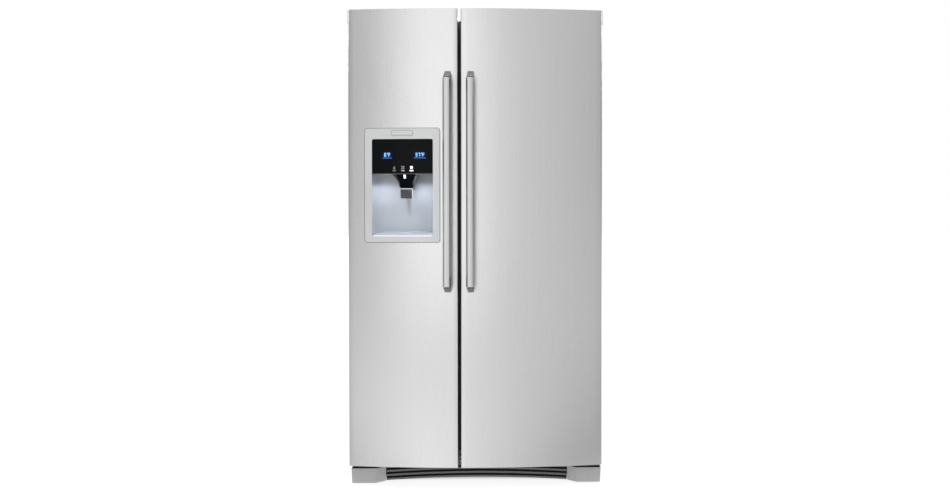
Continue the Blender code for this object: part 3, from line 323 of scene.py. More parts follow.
def rubber(name, colour, roughness=0.62):
    """Soft, matte and a little dusty."""
    look = Look(name, specular=0.35)
    dust = look.noise((30, 30, 18), detail=5, roughness=0.65)
    skin = look.noise((1600, 1600, 1600))
    dusty = look.spread(dust, 0.0, 0.8, start=0.45, stop=0.75)
    look.colour(look.tint(dusty, colour, shade(colour, 1.9)))
    look.rough(look.spread(dust, roughness - 0.05, roughness + 0.12))
    look.bump(skin, 0.00005)
    return look.material


def galvanised(name):
    """Zinc-coated sheet with spangle and a few dull patches."""
    look = Look(name, metallic=0.9)
    spangle = look.cells((95, 95, 95), output="Color")
    value = look.add("ShaderNodeSeparateColor", {"Color": spangle}).outputs[0]
    cloud = look.noise((6, 6, 6), detail=4)
    bright = look.spread(value, 0.0, 1.0, start=0.0, stop=1.0)
    zinc = look.tint(bright, (0.40, 0.41, 0.42), (0.47, 0.48, 0.49))
    look.colour(look.tint(look.spread(cloud, 0.0, 0.4), zinc, (0.47, 0.48, 0.48)))
    dull = look.spread(value, 0.36, 0.50, start=0.0, stop=1.0)
    look.rough(look.sum(dull, look.spread(cloud, -0.03, 0.10)))
    look.bump(look.noise((300, 300, 300), detail=3), 0.00003)
    return look.material


def foamed(name):
    """Rigid foam with small cells."""
    look = Look(name)
    cell = look.cells((420, 420, 420))
    cloud = look.noise((12, 12, 12), detail=4)
    look.colour(look.tint(look.spread(cloud, 0.0, 1.0), (0.76, 0.66, 0.40), (0.86, 0.78, 0.55)))
    look.rough(look.spread(cell, 0.85, 0.98, start=0.0, stop=0.6))
    look.bump(cell, 0.0004)
    return look.material


def textured_pad(name, colour):
    """Dark soft plastic with a fine square grid, its colour darker in the grooves and lighter on the ridges
    as painted shade and highlight.
    """
    look = Look(name)
    pitch = 0.0024
    x, _, z = look.add("ShaderNodeSeparateXYZ", {"Vector": look.place}).outputs
    waves = [look.maths("SINE", look.scale(axis, 2 * pi / pitch)) for axis in (x, z)]
    grid = look.maths("MAXIMUM", *waves)
    # The colour follows the grid's height: painted shade in the grooves and painted highlight on the ridges.
    raised = look.spread(grid, 0.0, 1.0, start=-0.2, stop=1.0)
    look.colour(look.tint(raised, shade(colour, 0.6), shade(colour, 1.2)))
    look.rough(look.spread(grid, 0.62, 0.42, start=-0.2, stop=1.0))
    look.bump(grid, 0.0003)
    return look.material


LOOKS = {
    "door_steel": brushed_steel("door_steel", (0.66, 0.66, 0.665), 0.268, 0.292, 0.0),
    "bar_steel": brushed_steel("bar_steel", (0.61, 0.61, 0.61), 0.31, 0.37, 0.3),
    "chrome": brushed_steel("chrome", (0.80, 0.81, 0.83), 0.10, 0.18, 0.1),
    "screw_steel": brushed_steel("screw_steel", (0.62, 0.62, 0.60), 0.24, 0.34, 0.0),
    "zinc": galvanised("zinc"),
    "case_paint": painted("case_paint", (0.075, 0.076, 0.080), 0.50, 700, 0.00012),
    "mount_metal": painted("mount_metal", (0.15, 0.15, 0.155), 0.40, 500, 0.00004, 0.75),
    "hinge_metal": painted("hinge_metal", (0.20, 0.20, 0.205), 0.42, 500, 0.00005, 0.7),
    "enamel": painted("enamel", (0.012, 0.012, 0.013), 0.28, 220, 0.00010),
    "foam": foamed("foam"),
    "liner_white": moulded("liner_white", (0.80, 0.81, 0.81), 0.30),
    "basket_white": moulded("basket_white", (0.78, 0.79, 0.80), 0.34),
    "trim_white": moulded("trim_white", (0.82, 0.83, 0.83), 0.28),
    "clear": glassy("clear", (0.84, 0.90, 0.92), 0.26),
    "shelf_glass": glassy("shelf_glass", (0.72, 0.86, 0.82), 0.34, 0.02),
    "silver": moulded("silver", (0.66, 0.665, 0.67), 0.34, metallic=0.35),
    "niche": moulded("niche", (0.47, 0.485, 0.52), 0.36, metallic=0.15),
    "black_glass": moulded("black_glass", (0.006, 0.0065, 0.008), 0.07, 0.000004, 0.0, specular=0.04),
    "black_gloss": moulded("black_gloss", (0.002, 0.003, 0.006), 0.16, 0.00001, 0.05, specular=0.03),
    "funnel_smoke": moulded("funnel_smoke", (0.070, 0.069, 0.074), 0.30, 0.00001, specular=0.25),
    "dark_plastic": moulded("dark_plastic", (0.045, 0.043, 0.043), 0.42),
    "charcoal": moulded("charcoal", (0.125, 0.125, 0.125), 0.46),
    "black_plastic": moulded("black_plastic", (0.022, 0.022, 0.023), 0.5),
    "grey_plastic": moulded("grey_plastic", (0.40, 0.40, 0.405), 0.44),
    "seam": rubber("seam", (0.085, 0.085, 0.087)),
    "badge_line": rubber("badge_line", (0.22, 0.22, 0.22)),
    # Near-black painted shade, used on the strips and lip over the corner covers, the plate in the doors' gap
    # and the grille's backing.
    "shade_black": rubber("shade_black", (0.004, 0.004, 0.004), 0.9),
    "gasket": rubber("gasket", (0.030, 0.030, 0.032)),
    "pad": textured_pad("pad", (0.025, 0.023, 0.022)),
    # Glows white on the chute's small patch.
    "lamp": lit("lamp", (0.90, 0.95, 1.0), 2.0),
    # The sill's glow is a painted highlight along the niche floor's front edge.
    "sill_highlight": lit("sill_highlight", (0.90, 0.94, 1.0), 0.35),
    "room_lamp": lit("room_lamp", (1.0, 0.98, 0.94), 3.0),
    "figure_blue": lit("figure_blue", (0.26, 0.60, 1.0), 0.90),
    "glow_blue": halo("glow_blue", (0.010, 0.055, 0.30), 0.96),
    "line_blue": lit("line_blue", (0.08, 0.20, 0.45), 0.30),
    "icon_dim": lit("icon_dim", (0.20, 0.20, 0.21), 0.20),
    "icon_mid": lit("icon_mid", (0.45, 0.44, 0.40), 0.40),
    "icon_bright": lit("icon_bright", (1.0, 1.0, 1.0), 0.95),
}


# Meshes and pieces. Every piece's origin is the frame's origin.


def smooth(mesh):
    mesh.shade_smooth()
    mesh.set_sharp_from_angle(angle=radians(SHARP_ANGLE))
    return mesh


def finish_mesh(shape):
    bmesh.ops.recalc_face_normals(shape, faces=shape.faces)
    mesh = bpy.data.meshes.new("mesh")
    shape.to_mesh(mesh)
    shape.free()
    return smooth(mesh)


def soften(obj, width, segments):
    step = obj.modifiers.new("Bevel", "BEVEL")
    step.width = width
    step.segments = segments
    step.limit_method = "ANGLE"
    step.angle_limit = radians(BEVEL_ANGLE)
    step.harden_normals = True


def piece(name, mesh, body, look, bevel=0.0, segments=2):
    """A visible piece that rides on a body."""
    obj = bpy.data.objects.new(name, mesh)
    bpy.context.scene.collection.objects.link(obj)
    mesh.materials.clear()
    mesh.materials.append(LOOKS[look])
    if bevel:
        soften(obj, bevel, segments)
    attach(obj, body)
    return obj


def light(name, kind, place, watts, **settings):
    data = bpy.data.lights.new(name, kind)
    data.energy = watts
    for key, value in settings.items():
        setattr(data, key, value)
    lamp = bpy.data.objects.new(name, data)
    lamp.location = place
    bpy.context.scene.collection.objects.link(lamp)
    return lamp


def boxes(*corners):
    shape = bmesh.new()
    for low, high in corners:
        size = [b - a for a, b in zip(low, high)]
        middle = [(a + b) / 2 for a, b in zip(low, high)]
        bmesh.ops.create_cube(shape, matrix=Matrix.Translation(middle) @ Matrix.Diagonal((*size, 1)))
    return finish_mesh(shape)


AXES = {
    "Z": lambda u, v, w: (u, v, w),
    "Y": lambda u, v, w: (u, w, v),
    "X": lambda u, v, w: (w, u, v),
}


def add_prism(shape, outline, low, high, axis="Z"):
    """A closed solid: an outline carried between two planes across an axis."""
    turn = AXES[axis]
    under = [shape.verts.new(turn(u, v, low)) for u, v in outline]
    over = [shape.verts.new(turn(u, v, high)) for u, v in outline]
    shape.faces.new(under)
    shape.faces.new(over)
    for i in range(len(outline)):
        j = (i + 1) % len(outline)
        shape.faces.new((under[i], under[j], over[j], over[i]))


def prism(outline, low, high, axis="Z"):
    shape = bmesh.new()
    add_prism(shape, outline, low, high, axis)
    return finish_mesh(shape)


def front_y(x, inset=0.0):
    """The door front's arc, or the arc this far behind it."""
    return ARC_CENTRE - sqrt((ARC_RADIUS - inset) ** 2 - x**2)


def front_band(left, right, inset, thick, steps):
    """Plan of a strip that follows the door's front."""
    xs = [left + (right - left) * i / steps for i in range(steps + 1)]
    near = [(x, front_y(x, inset)) for x in xs]
    return near + [(x, front_y(x, inset + thick)) for x in reversed(xs)]


def add_patch(shape, left, low, right, high, thick=PRINT):
    """A thin mark on the display's glass."""
    add_prism(shape, front_band(left, right, MARK_INSET - thick, thick, 3), low, high)


def join_rows(shape, rows):
    """Closes a loop of outlines, which have the same number of points, with faces."""
    count = len(rows[0])
    for first, second in zip(rows, rows[1:] + rows[:1]):
        for i in range(count):
            j = (i + 1) % count
            shape.faces.new((first[i], first[j], second[j], second[i]))
    return finish_mesh(shape)


def door_ring(outer, inner, near, far):
    """A ring between two outlines that follows the door's front, between two insets."""
    shape = bmesh.new()
    rows = []
    for outline, inset in ((outer, near), (outer, far), (inner, far), (inner, near)):
        rows.append([shape.verts.new((x, front_y(x, inset), z)) for x, z in outline])
    return join_rows(shape, rows)


def dense(outline, reach=0.015):
    """The same outline with no side longer than this, so that it can follow the door's bow."""
    points = []
    for start, stop in zip(outline, outline[1:] + outline[:1]):
        parts = max(1, int(abs(stop[0] - start[0]) / reach))
        points += [tuple(a + (b - a) * i / parts for a, b in zip(start, stop)) for i in range(parts)]
    return points


def rounded(left, low, right, high, radius, steps=5):
    """A rectangle with rounded corners."""
    corners = (
        (right - radius, low + radius, -pi / 2),
        (right - radius, high - radius, 0),
        (left + radius, high - radius, pi / 2),
        (left + radius, low + radius, pi),
    )
    return [
        (x + radius * cos(start + pi / 2 * i / steps), z + radius * sin(start + pi / 2 * i / steps))
        for x, z, start in corners
        for i in range(steps + 1)
    ]


def circle(x, z, radius, count):
    return [(x + radius * cos(a), z + radius * sin(a)) for a in (2 * pi * i / count for i in range(count))]


def framed(low, high, grow, radius):
    """A rounded outline this far outside a box's front, in steps that match for any growth."""
    middle = (low + high) / 2
    wider = 1 + 2 * grow / (high.x - low.x)
    taller = 1 + 2 * grow / (high.z - low.z)
    points = dense(rounded(low.x, low.z, high.x, high.z, radius))
    return [(middle.x + (x - middle.x) * wider, middle.z + (z - middle.z) * taller) for x, z in points]


def refined(name, look, bevel, segments=2):
    """The CAD node's own shape with fine rounded edges and smooth curves, in place of the node."""
    source = nodes[name]
    welded = bmesh.new()
    welded.from_mesh(source.data)
    bmesh.ops.remove_doubles(welded, verts=welded.verts, dist=0.000002)
    bmesh.ops.dissolve_limit(welded, angle_limit=radians(0.05), verts=welded.verts, edges=welded.edges)
    mesh = bpy.data.meshes.new(name)
    points = [v.co.copy() for v in welded.verts]
    welded.verts.index_update()
    faces = [[v.index for v in f.verts] for f in welded.faces]
    welded.free()
    mesh.from_pydata(points, [], faces)
    obj = piece(f"{name}_surface", smooth(mesh), source["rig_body"], look, bevel, segments)
    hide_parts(name)


def recolour(name, look):
    """A better material on a CAD node that stays."""
    nodes[name].material_slots[0].material = LOOKS[look]


# The frame's own parts.


def surfaces():
    """Every part in sight, with fine edges, and better materials on those closed in by the others."""
    for door in ("freezer", "fridge"):
        refined(f"{door}_door_skin", "door_steel", 0.0004, 3)
        refined(f"{door}_door_cap", "grey_plastic", 0.0008)
        refined(f"{door}_door_liner", "liner_white", 0.0012, 3)
        refined(f"{door}_door_gasket", "gasket", 0.0008)
        refined(f"{door}_handle_bar", "bar_steel", 0.0006)
        for end in ("upper", "lower"):
            refined(f"{door}_handle_mount_{end}", "mount_metal", 0.0003)
        recolour(f"{door}_door_core", "foam")
        refined(f"{door}_liner", "liner_white", 0.0015, 3)
        for place in ("upper", "lower"):
            refined(f"{door}_door_bin_{place}", "clear", 0.0007)
    for place in ("upper", "lower"):
        refined(f"freezer_basket_{place}", "basket_white", 0.0008)
        refined(f"crisper_{place}", "clear", 0.0008)
    for name in ("ice_bucket", "dairy_bin", "dairy_lid"):
        refined(name, "clear", 0.0006)
    for name, look, bevel in (
        ("dispenser_bezel", "silver", 0.0006),
        ("display_panel", "black_glass", 0.0003),
        ("dispenser_niche", "niche", 0.0005),
        ("dispenser_paddle", "dark_plastic", 0.0003),
        ("drip_tray", "niche", 0.0006),
        ("cabinet_wrapper", "case_paint", 0.0005),
        ("rear_panel", "zinc", 0.0003),
        ("ice_maker", "trim_white", 0.0010),
    ):
        refined(name, look, bevel)
    for side in ("left", "right"):
        refined(f"base_corner_{side}", "grey_plastic", 0.0005)
        refined(f"hinge_cover_{side}", "charcoal", 0.0004)
        refined(f"upper_hinge_{side}", "hinge_metal", 0.0006)
        refined(f"lower_hinge_{side}", "hinge_metal", 0.0006)
        refined(f"leveling_leg_{side}", "hinge_metal", 0.0004)
        refined(f"rear_roller_{side}", "black_plastic", 0.0004)
    for name, look in (
        ("insulation_foam", "foam"),
        ("base_frame", "zinc"),
        ("compressor", "enamel"),
        ("condenser_coil", "enamel"),
        ("condenser_fan", "black_plastic"),
    ):
        recolour(name, look)


def base_trim():
    """Near-black strips on the corner covers, painted shade under the doors: a strip under the doors' edges,
    and a lip along the front edge.
    """
    strip_start, front_inset, back_inset = 0.372, 0.0012, 0.001
    rise, drop, lip_side, lip_thick = 0.0022, 0.0024, 0.0002, 0.0004
    for side, sign in (("left", -1), ("right", 1)):
        low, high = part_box(f"base_corner_{side}")
        left, right = sorted((sign * strip_start, sign * COVER_END))
        top = high.z + rise
        strip = boxes(((left, low.y + front_inset, high.z + HAIR), (right, high.y - back_inset, top)))
        piece(f"base_shade_strip_{side}", strip, "cabinet", "shade_black", 0.0006)
        near = low.y - HAIR
        turned = (COVER_CORNER - COVER_TURN, near + COVER_TURN * COVER_SLOPE)
        face = [(COVER_END, near), (COVER_CORNER, near), turned]
        skirt = face + [(x - lip_side, y - lip_thick) for x, y in reversed(face)]
        lip = prism([(sign * x, y) for x, y in skirt], high.z - drop, top)
        piece(f"base_shade_lip_{side}", lip, "cabinet", "shade_black")


def centre_trim():
    """Small ribs on the case between the doors' bottom corners, seen through the gap, before a near-black
    plate that is painted shade.
    """
    clear, plate_thick, plate_floor, plate_top = 0.0012, 0.0022, 0.074, 0.128
    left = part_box("freezer_door_skin")[1].x + clear
    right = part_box("fridge_door_skin")[0].x - clear
    low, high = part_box("fridge_door_gasket")
    front, back = low.y + 0.0004, high.y - 0.0002
    heights = ((0.078, 0.083), (0.091, 0.098), (0.109, 0.122))
    ribs = boxes(*[((left, front, floor), (right, back, top)) for floor, top in heights])
    piece("centre_trim_ribs", ribs, "cabinet", "grey_plastic", 0.0006)
    # The plate behind the ribs is painted shade in the gap between the doors.
    plate = boxes(((left, back - plate_thick, plate_floor), (right, back, plate_top)))
    piece("centre_trim_shade_plate", plate, "cabinet", "shade_black", 0.0004)


def grille():
    """Louvre ribs with nothing across their fronts, before a near-black backing that is painted shade behind
    the slots.
    """
    low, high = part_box("toe_grille")
    end = high.x
    radius = (end**2 + GRILLE_BOW**2) / (2 * GRILLE_BOW)

    def band(start, stop, steps=32):
        xs = [-end + 2 * end * i / steps for i in range(steps + 1)]
        arc = [(x, high.y - GRILLE_DEPTH - radius + sqrt(radius**2 - x**2)) for x in xs]
        return [(x, y + start) for x, y in arc] + [(x, y + stop) for x, y in reversed(arc)]

    shape = bmesh.new()
    edges = [low.z]
    for row in range(GRILLE_GAPS):
        edges += [low.z + GRILLE_STEP * row + GRILLE_RIB, low.z + GRILLE_STEP * row + GRILLE_STEP]
    edges.append(high.z)
    for floor, top in zip(edges[::2], edges[1::2]):
        add_prism(shape, band(0.0, GRILLE_DEPTH), floor, top)
    ribs = piece("grille_ribs", finish_mesh(shape), "cabinet", "charcoal", 0.0010, 3)
    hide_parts("toe_grille")
    # The backing is painted shade, seen through the slots between the ribs.
    backing_front, backing_back, margin = 0.0065, GRILLE_DEPTH - 0.0005, 0.001
    backing = prism(band(backing_front, backing_back), low.z + margin, high.z - margin)
    piece("grille_shade_backing", backing, "cabinet", "shade_black")


def glass_shelf(name):
    """A glass pane in a white surround with a deep front rail."""
    low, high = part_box(name)
    side, depth, rim, radius, rail_inset = 0.004, 0.006, 0.012, 0.004, 0.007
    pane_front, pane_low, pane_high = 0.010, 0.0048, 0.0012
    start = (low.x + side, low.y + pane_front, high.z - pane_low)
    stop = (high.x - side, high.y - side, high.z - pane_high)
    piece(f"{name}_pane", boxes((start, stop)), "cabinet", "shelf_glass", 0.0006)
    outer = rounded(low.x, low.y + depth, high.x, high.y, radius)
    inner = rounded(low.x + rim, low.y + depth + rim, high.x - rim, high.y - rim, radius)
    shape = bmesh.new()
    rows = []
    for outline, drop in ((outer, 0.0060), (outer, 0.0), (inner, 0.0002), (inner, 0.0011)):
        rows.append([shape.verts.new((x, y, high.z - drop)) for x, y in outline])
    piece(f"{name}_surround", join_rows(shape, rows), "cabinet", "trim_white", 0.0004)
    profile = [
        (low.y + 0.0005, high.z - 0.0030),
        (low.y + 0.0020, high.z - 0.0003),
        (low.y + depth, high.z - HAIR),
        (low.y + depth, low.z + 0.0030),
        (low.y + 0.0045, low.z + 0.0005),
        (low.y + 0.0010, low.z + 0.0010),
    ]
    rail = prism(profile, low.x + rail_inset, high.x - rail_inset, "X")
    front = piece(f"{name}_rail", rail, "cabinet", "trim_white", 0.0008)
    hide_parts(name)


# Dispenser.

STROKES = {
    "0": "abcdef",
    "3": "abcdg",
    "7": "abc",
    "F": "aefg",
}


def add_figure(shape, mark, left, low, width, height, stroke):
    """A lit figure of straight strokes."""
    right, high, middle = left + width, low + height, low + height / 2
    half = stroke / 2
    places = {
        "a": (left, high - stroke, right, high),
        "b": (right - stroke, middle, right, high),
        "c": (right - stroke, low, right, middle),
        "d": (left, low, right, low + stroke),
        "e": (left, low, left + stroke, middle),
        "f": (left, middle, left + stroke, high),
        "g": (left, middle - half, right, middle + half),
    }
    for letter in STROKES[mark]:
        add_patch(shape, *places[letter])


def patch(left, low, right, high, thick=PRINT):
    shape = bmesh.new()
    add_patch(shape, left, low, right, high, thick)
    return finish_mesh(shape)


def readout(name, marks, left, low, height, body):
    """Temperature figures with a degree dot, over a dim blue glow and a thin underline."""
    width, gap, stroke = height * 0.50, height * 0.26, height * 0.15
    dot_width, dot_height = 1.4 * stroke, 2.2 * stroke
    line_low, line_high, line_before, line_after = 0.0060, 0.0040, 0.006, 0.003
    glow_around, glow_after, glow_above = 0.014, 0.010, 0.011
    shape = bmesh.new()
    x = left
    for mark in marks:
        if mark == "*":
            add_patch(shape, x, low + height - dot_height, x + dot_width, low + height)
            x += dot_width + gap * 0.6
        else:
            add_figure(shape, mark, x, low, width, height, stroke)
            x += width + gap
    piece(f"{name}_figures", finish_mesh(shape), body, "figure_blue")
    line = patch(left - line_before, low - line_low, x + line_after, low - line_high)
    piece(f"{name}_underline", line, body, "line_blue")
    high = low + height + glow_above
    glow = patch(left - glow_around, low - glow_around, x + glow_after, high, HAIR)
    piece(f"{name}_glow", glow, body, "glow_blue")


def icon(name, x, z):
    """A drop, a pattern of crumbs or a cube."""
    shape = bmesh.new()
    if name == "water":
        width, height, steps = 0.0038, 0.0062, 20
        turns = [2 * pi * i / steps for i in range(steps)]
        drop = [(x + width * sin(a) * (1 + cos(a)) / 1.3, z - height * cos(a)) for a in turns]
        add_prism(shape, drop, front_y(x, MARK_INSET - PRINT), front_y(x, MARK_INSET), "Y")
    elif name == "crushed":
        step, half = 0.0036, 0.0015
        for column in (-1, 0, 1):
            for row in (-1, 0, 1):
                if (column + row) % 2 == 0:
                    u, v = x + column * step, z + row * step
                    add_patch(shape, u - half, v - half, u + half, v + half)
    else:
        half_width, half_height = 0.0043, 0.0046
        add_patch(shape, x - half_width, z - half_height, x + half_width, z + half_height)
    return finish_mesh(shape)


def display():
    """Readouts and three choice icons with label bars, on the panel's glass."""
    low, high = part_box("display_panel")
    body, slot = "freezer_door", "black_glass"
    tall, floor, icon_rise, label_low, label_high = 0.0132, low.z + 0.0595, 0.0205, 0.0075, 0.0115
    readout("freezer_readout", "0*F", low.x + 0.0440, floor, tall, body)
    readout("fridge_readout", "37*F", high.x - 0.0620, floor, tall, body)
    middle = (low.x + high.x) / 2
    for name, x, look, half_label in (
        ("water", middle - 0.0290, "icon_dim", 0.0055),
        ("crushed", middle + 0.0018, "icon_mid", 0.0055),
        ("cubed", middle + 0.0328, "icon_bright", 0.0070),
    ):
        piece(f"{name}_icon", icon(name, x, low.z + icon_rise), body, look)
        label = patch(x - half_label, low.z + label_low, x + half_label, low.z + label_high)
        piece(f"{name}_label_bar", label, body, look)


def dispenser_trim():
    """The bezel's seam, the blank badge's outline, the lip under the panel and the sill, which glows as a
    painted highlight along the niche floor's front edge.
    """
    body = "freezer_door"
    low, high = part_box("dispenser_bezel")
    seam_out, seam_in, seam_near, seam_far = 0.0017, -0.0010, -0.0006, -0.00005
    outer, inner = framed(low, high, seam_out, 0.0105), framed(low, high, seam_in, 0.0085)
    seam = door_ring(outer, inner, seam_near, seam_far)
    piece("bezel_seam", seam, body, "seam")
    badge_low, badge_high, badge_radius = 0.0250, 0.0065, 0.0035
    badge_out, badge_in, badge_near, badge_far = 0.0002, -0.0011, -0.0030, -0.0016
    start = Vector((low.x + BADGE_INSET, 0, high.z - badge_low))
    stop = Vector((high.x - BADGE_INSET, 0, high.z - badge_high))
    outer, inner = [framed(start, stop, grow, badge_radius) for grow in (badge_out, badge_in)]
    badge = door_ring(outer, inner, badge_near, badge_far)
    piece("badge_outline", badge, body, "badge_line")
    low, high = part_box("display_panel")
    lip_inset, lip_depth, lip_drop, steps = 0.0004, 0.004, 0.0026, 12
    lip = prism(front_band(low.x, high.x, lip_inset, lip_depth, steps), low.z - lip_drop, low.z - HAIR)
    piece("panel_lip", lip, body, "dark_plastic", 0.0003)
    low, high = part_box("drip_tray")
    # The sill glows as a painted highlight, not a lamp.
    side, sill_out, sill_depth, sill_rise = 0.004, 0.0022, 0.0010, 0.0012
    plan = front_band(low.x + side, high.x - side, -sill_out, sill_depth, steps)
    sill_highlight = prism(plan, low.z - sill_out, low.z + sill_rise)
    piece("niche_highlight_sill", sill_highlight, "drip_tray", "sill_highlight", 0.0003)


def chute():
    """A smoky funnel that leans back, with a black nozzle before it and a small patch that glows white."""
    body, slot = "freezer_door", "dark_plastic"
    low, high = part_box("dispenser_chute")
    middle, tall = (low.x + high.x) / 2, high.z - low.z
    lean = CHUTE_LEAN / tall
    slant = Matrix(((1, 0, 0, 0), (0, 1, -lean, lean * high.z), (0, 0, 1, 0), (0, 0, 0, 1)))
    wide, narrow, steps = (high.x - low.x) / 2, 0.0266, 10
    falls = [i / steps for i in range(steps + 1)]
    side = [(narrow + (wide - narrow) * (1 - t) ** 1.9, high.z - tall * t) for t in falls]
    outline = [(middle + u, v) for u, v in side] + [(middle - u, v) for u, v in reversed(side)]
    funnel = prism(outline, low.y + 0.0004, low.y + 0.022, "Y")
    funnel.transform(slant)
    visible = piece("chute_funnel", funnel, body, "funnel_smoke", 0.0008)
    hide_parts("dispenser_chute")
    side = [
        (-0.0345, high.z - 0.001),
        (-0.0282, high.z - 0.019),
        (-0.0236, low.z + 0.018),
        (-0.0228, low.z - 0.004),
    ]
    outline = [(middle + u, v) for u, v in side] + [(middle - u, v) for u, v in reversed(side)]
    nozzle = prism(outline, low.y - 0.0032, low.y + 0.0020, "Y")
    nozzle.transform(slant)
    piece("chute_nozzle", nozzle, body, "black_gloss", 0.0009)
    # A small box before the nozzle's top that glows white.
    start = (middle - 0.0070, low.y - 0.0052, high.z - 0.0145)
    lamp = boxes((start, (middle, low.y - 0.0030, high.z - 0.0020)))
    lamp.transform(slant)
    piece("chute_white_patch", lamp, body, "lamp", 0.0012, 3)


def paddle():
    """A grid-textured pad with a chrome trim above it and at its right."""
    body, slot = "dispenser_paddle", "dark_plastic"
    low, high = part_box("dispenser_paddle")
    front, left, rail = low.y, low.x + 0.0012, high.z - 0.0056
    top = rail - 0.0002
    start = (left, front - 0.0012, low.z + 0.0005)
    pad = boxes((start, (high.x - 0.0036, front - HAIR, top)))
    piece("paddle_pad", pad, body, "pad", 0.0006)
    across = ((left, front - 0.0022, rail), (high.x, front + 0.0010, rail + 0.0028))
    upright = ((high.x - 0.0033, front - 0.0020, low.z), (high.x, front + 0.0008, top))
    piece("paddle_trim", boxes(across, upright), body, "chrome", 0.0005, 3)


def niche_lamps():
    """Two lenses in the niche's roof, each with its beam."""
    body = "freezer_door"
    low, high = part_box("dispenser_niche")
    middle, top = (low.x + high.x) / 2, high.z - LAMP_DROP
    half_width, half_depth, thick, beam_drop = 0.006, 0.004, 0.0012, 0.004
    cone = {
        "color": (0.82, 0.90, 1.0),
        "spot_size": radians(138),
        "spot_blend": 1.0,
        "shadow_soft_size": 0.006,
    }
    for side, sign in (("left", -1), ("right", 1)):
        x, y = middle + sign * NICHE_LAMP_X, NICHE_LAMP_Y
        start = (x - half_width, y - half_depth, top - thick)
        lens = boxes((start, (x + half_width, y + half_depth, top)))
        piece(f"niche_lamp_{side}", lens, body, "clear", 0.0004)
        beam = light(f"niche_beam_{side}", "SPOT", (x, y, top - beam_drop), NICHE_WATTS, **cone)
        beam.rotation_euler = (radians(4), 0, 0)
        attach(beam, body)


# Compartments.


def compartment_lamps():
    """A white housing with a lit lens in each compartment's roof."""
    half_width, front, back, thick = 0.075, -0.030, 0.045, 0.010
    rim, lens_low, lens_high, glow_drop = 0.009, 0.0125, 0.0085, 0.016
    for name, watts in LAMP_WATTS.items():
        low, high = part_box(f"{name}_liner")
        x, top = (low.x + high.x) / 2, high.z - LAMP_DROP
        housing = boxes(((x - half_width, front, top - thick), (x + half_width, back, top)))
        piece(f"{name}_lamp_housing", housing, "cabinet", "trim_white", 0.003, 3)
        reach = half_width - rim
        lens = boxes(((x - reach, front + rim, top - lens_low), (x + reach, back - rim, top - lens_high)))
        piece(f"{name}_lamp_lens", lens, "cabinet", "room_lamp", 0.002, 3)
        place = (x, 0.0, top - glow_drop)
        glow = light(f"{name}_glow", "AREA", place, watts, color=(1.0, 0.98, 0.95), size=0.12)
        glow.visible_camera = False
        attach(glow, "cabinet")


def slots(name, middle, half_width, height, radius, floors, front):
    """Black patches for air slots, slightly proud of a panel: their black is painted shade of the openings.
    """
    shape = bmesh.new()
    for z in floors:
        outline = rounded(middle - half_width, z, middle + half_width, z + height, radius, 3)
        add_prism(shape, outline, front - PRINT, front + 0.001, "Y")
    piece(name, finish_mesh(shape), "cabinet", "black_plastic")


def air_panels():
    """The freezer's evaporator cover and the fresh food side's air duct, with black patches of painted shade
    for slots.
    """
    low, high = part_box("freezer_liner")
    back = high.y - PANEL_OFFSET
    front = back - PANEL_DEPTH
    side, floor, drop = 0.020, 0.640, 0.030
    panel = rounded(low.x + side, floor, high.x - side, high.z - drop, 0.012)
    cover = prism(panel, front, back, "Y")
    piece("evaporator_cover", cover, "cabinet", "liner_white", 0.0022, 3)
    middle = (low.x + high.x) / 2
    floors = [1.500 + 0.012 * row for row in range(7)]
    slots("evaporator_slot_shade", middle, 0.090, 0.0055, 0.0025, floors, front)
    low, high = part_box("fridge_liner")
    middle = (low.x + high.x) / 2
    side, floor, drop = 0.070, 0.660, 0.045
    panel = rounded(middle - side, floor, middle + side, high.z - drop, 0.014)
    piece("air_duct", prism(panel, front, back, "Y"), "cabinet", "trim_white", 0.0022, 3)
    floors = [first + 0.011 * row for first in (0.850, 1.180, 1.480) for row in range(4)]
    slots("air_duct_slot_shade", middle, 0.045, 0.005, 0.0022, floors, front)


def bin_trims():
    """Bands along the front top edges of the bins and grips on the drawers."""
    band_side, band_low, band_high, band_thick = 0.003, 0.0210, 0.0030, 0.0011
    grip_side, grip_low, grip_high, grip_thick = 0.018, 0.0360, 0.0140, 0.0007
    for name, body in (
        ("freezer_door_bin_lower", "freezer_door"),
        ("freezer_door_bin_upper", "freezer_door"),
        ("fridge_door_bin_lower", "fridge_door"),
        ("fridge_door_bin_upper", "fridge_door"),
        ("dairy_bin", "fridge_door"),
    ):
        low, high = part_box(name)
        left, right = low.x + band_side, high.x - band_side
        outline = rounded(left, high.z - band_low, right, high.z - band_high, 0.005)
        band = prism(outline, high.y + HAIR, high.y + band_thick, "Y")
        piece(f"{name}_band", band, body, "trim_white", 0.0004)
    for name, look, slot in (
        ("crisper_upper", "trim_white", "clear_plastic"),
        ("crisper_lower", "trim_white", "clear_plastic"),
        ("freezer_basket_upper", "silver", "white_basket"),
        ("freezer_basket_lower", "silver", "white_basket"),
    ):
        low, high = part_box(name)
        left, right = low.x + grip_side, high.x - grip_side
        outline = rounded(left, high.z - grip_low, right, high.z - grip_high, 0.007)
        grip = prism(outline, low.y - grip_thick, low.y - HAIR, "Y")
        piece(f"{name}_grip", grip, name, look, 0.0003)


def hex_screw(shape, x, y, z):
    """A washer-head screw that stands out along +Y."""
    washer, head = circle(x, z, SCREW_RADIUS, 20), circle(x, z, 0.62 * SCREW_RADIUS, 6)
    add_prism(shape, washer, y + HAIR, y + 0.0006, "Y")
    add_prism(shape, head, y + 0.0007, y + 0.0016, "Y")


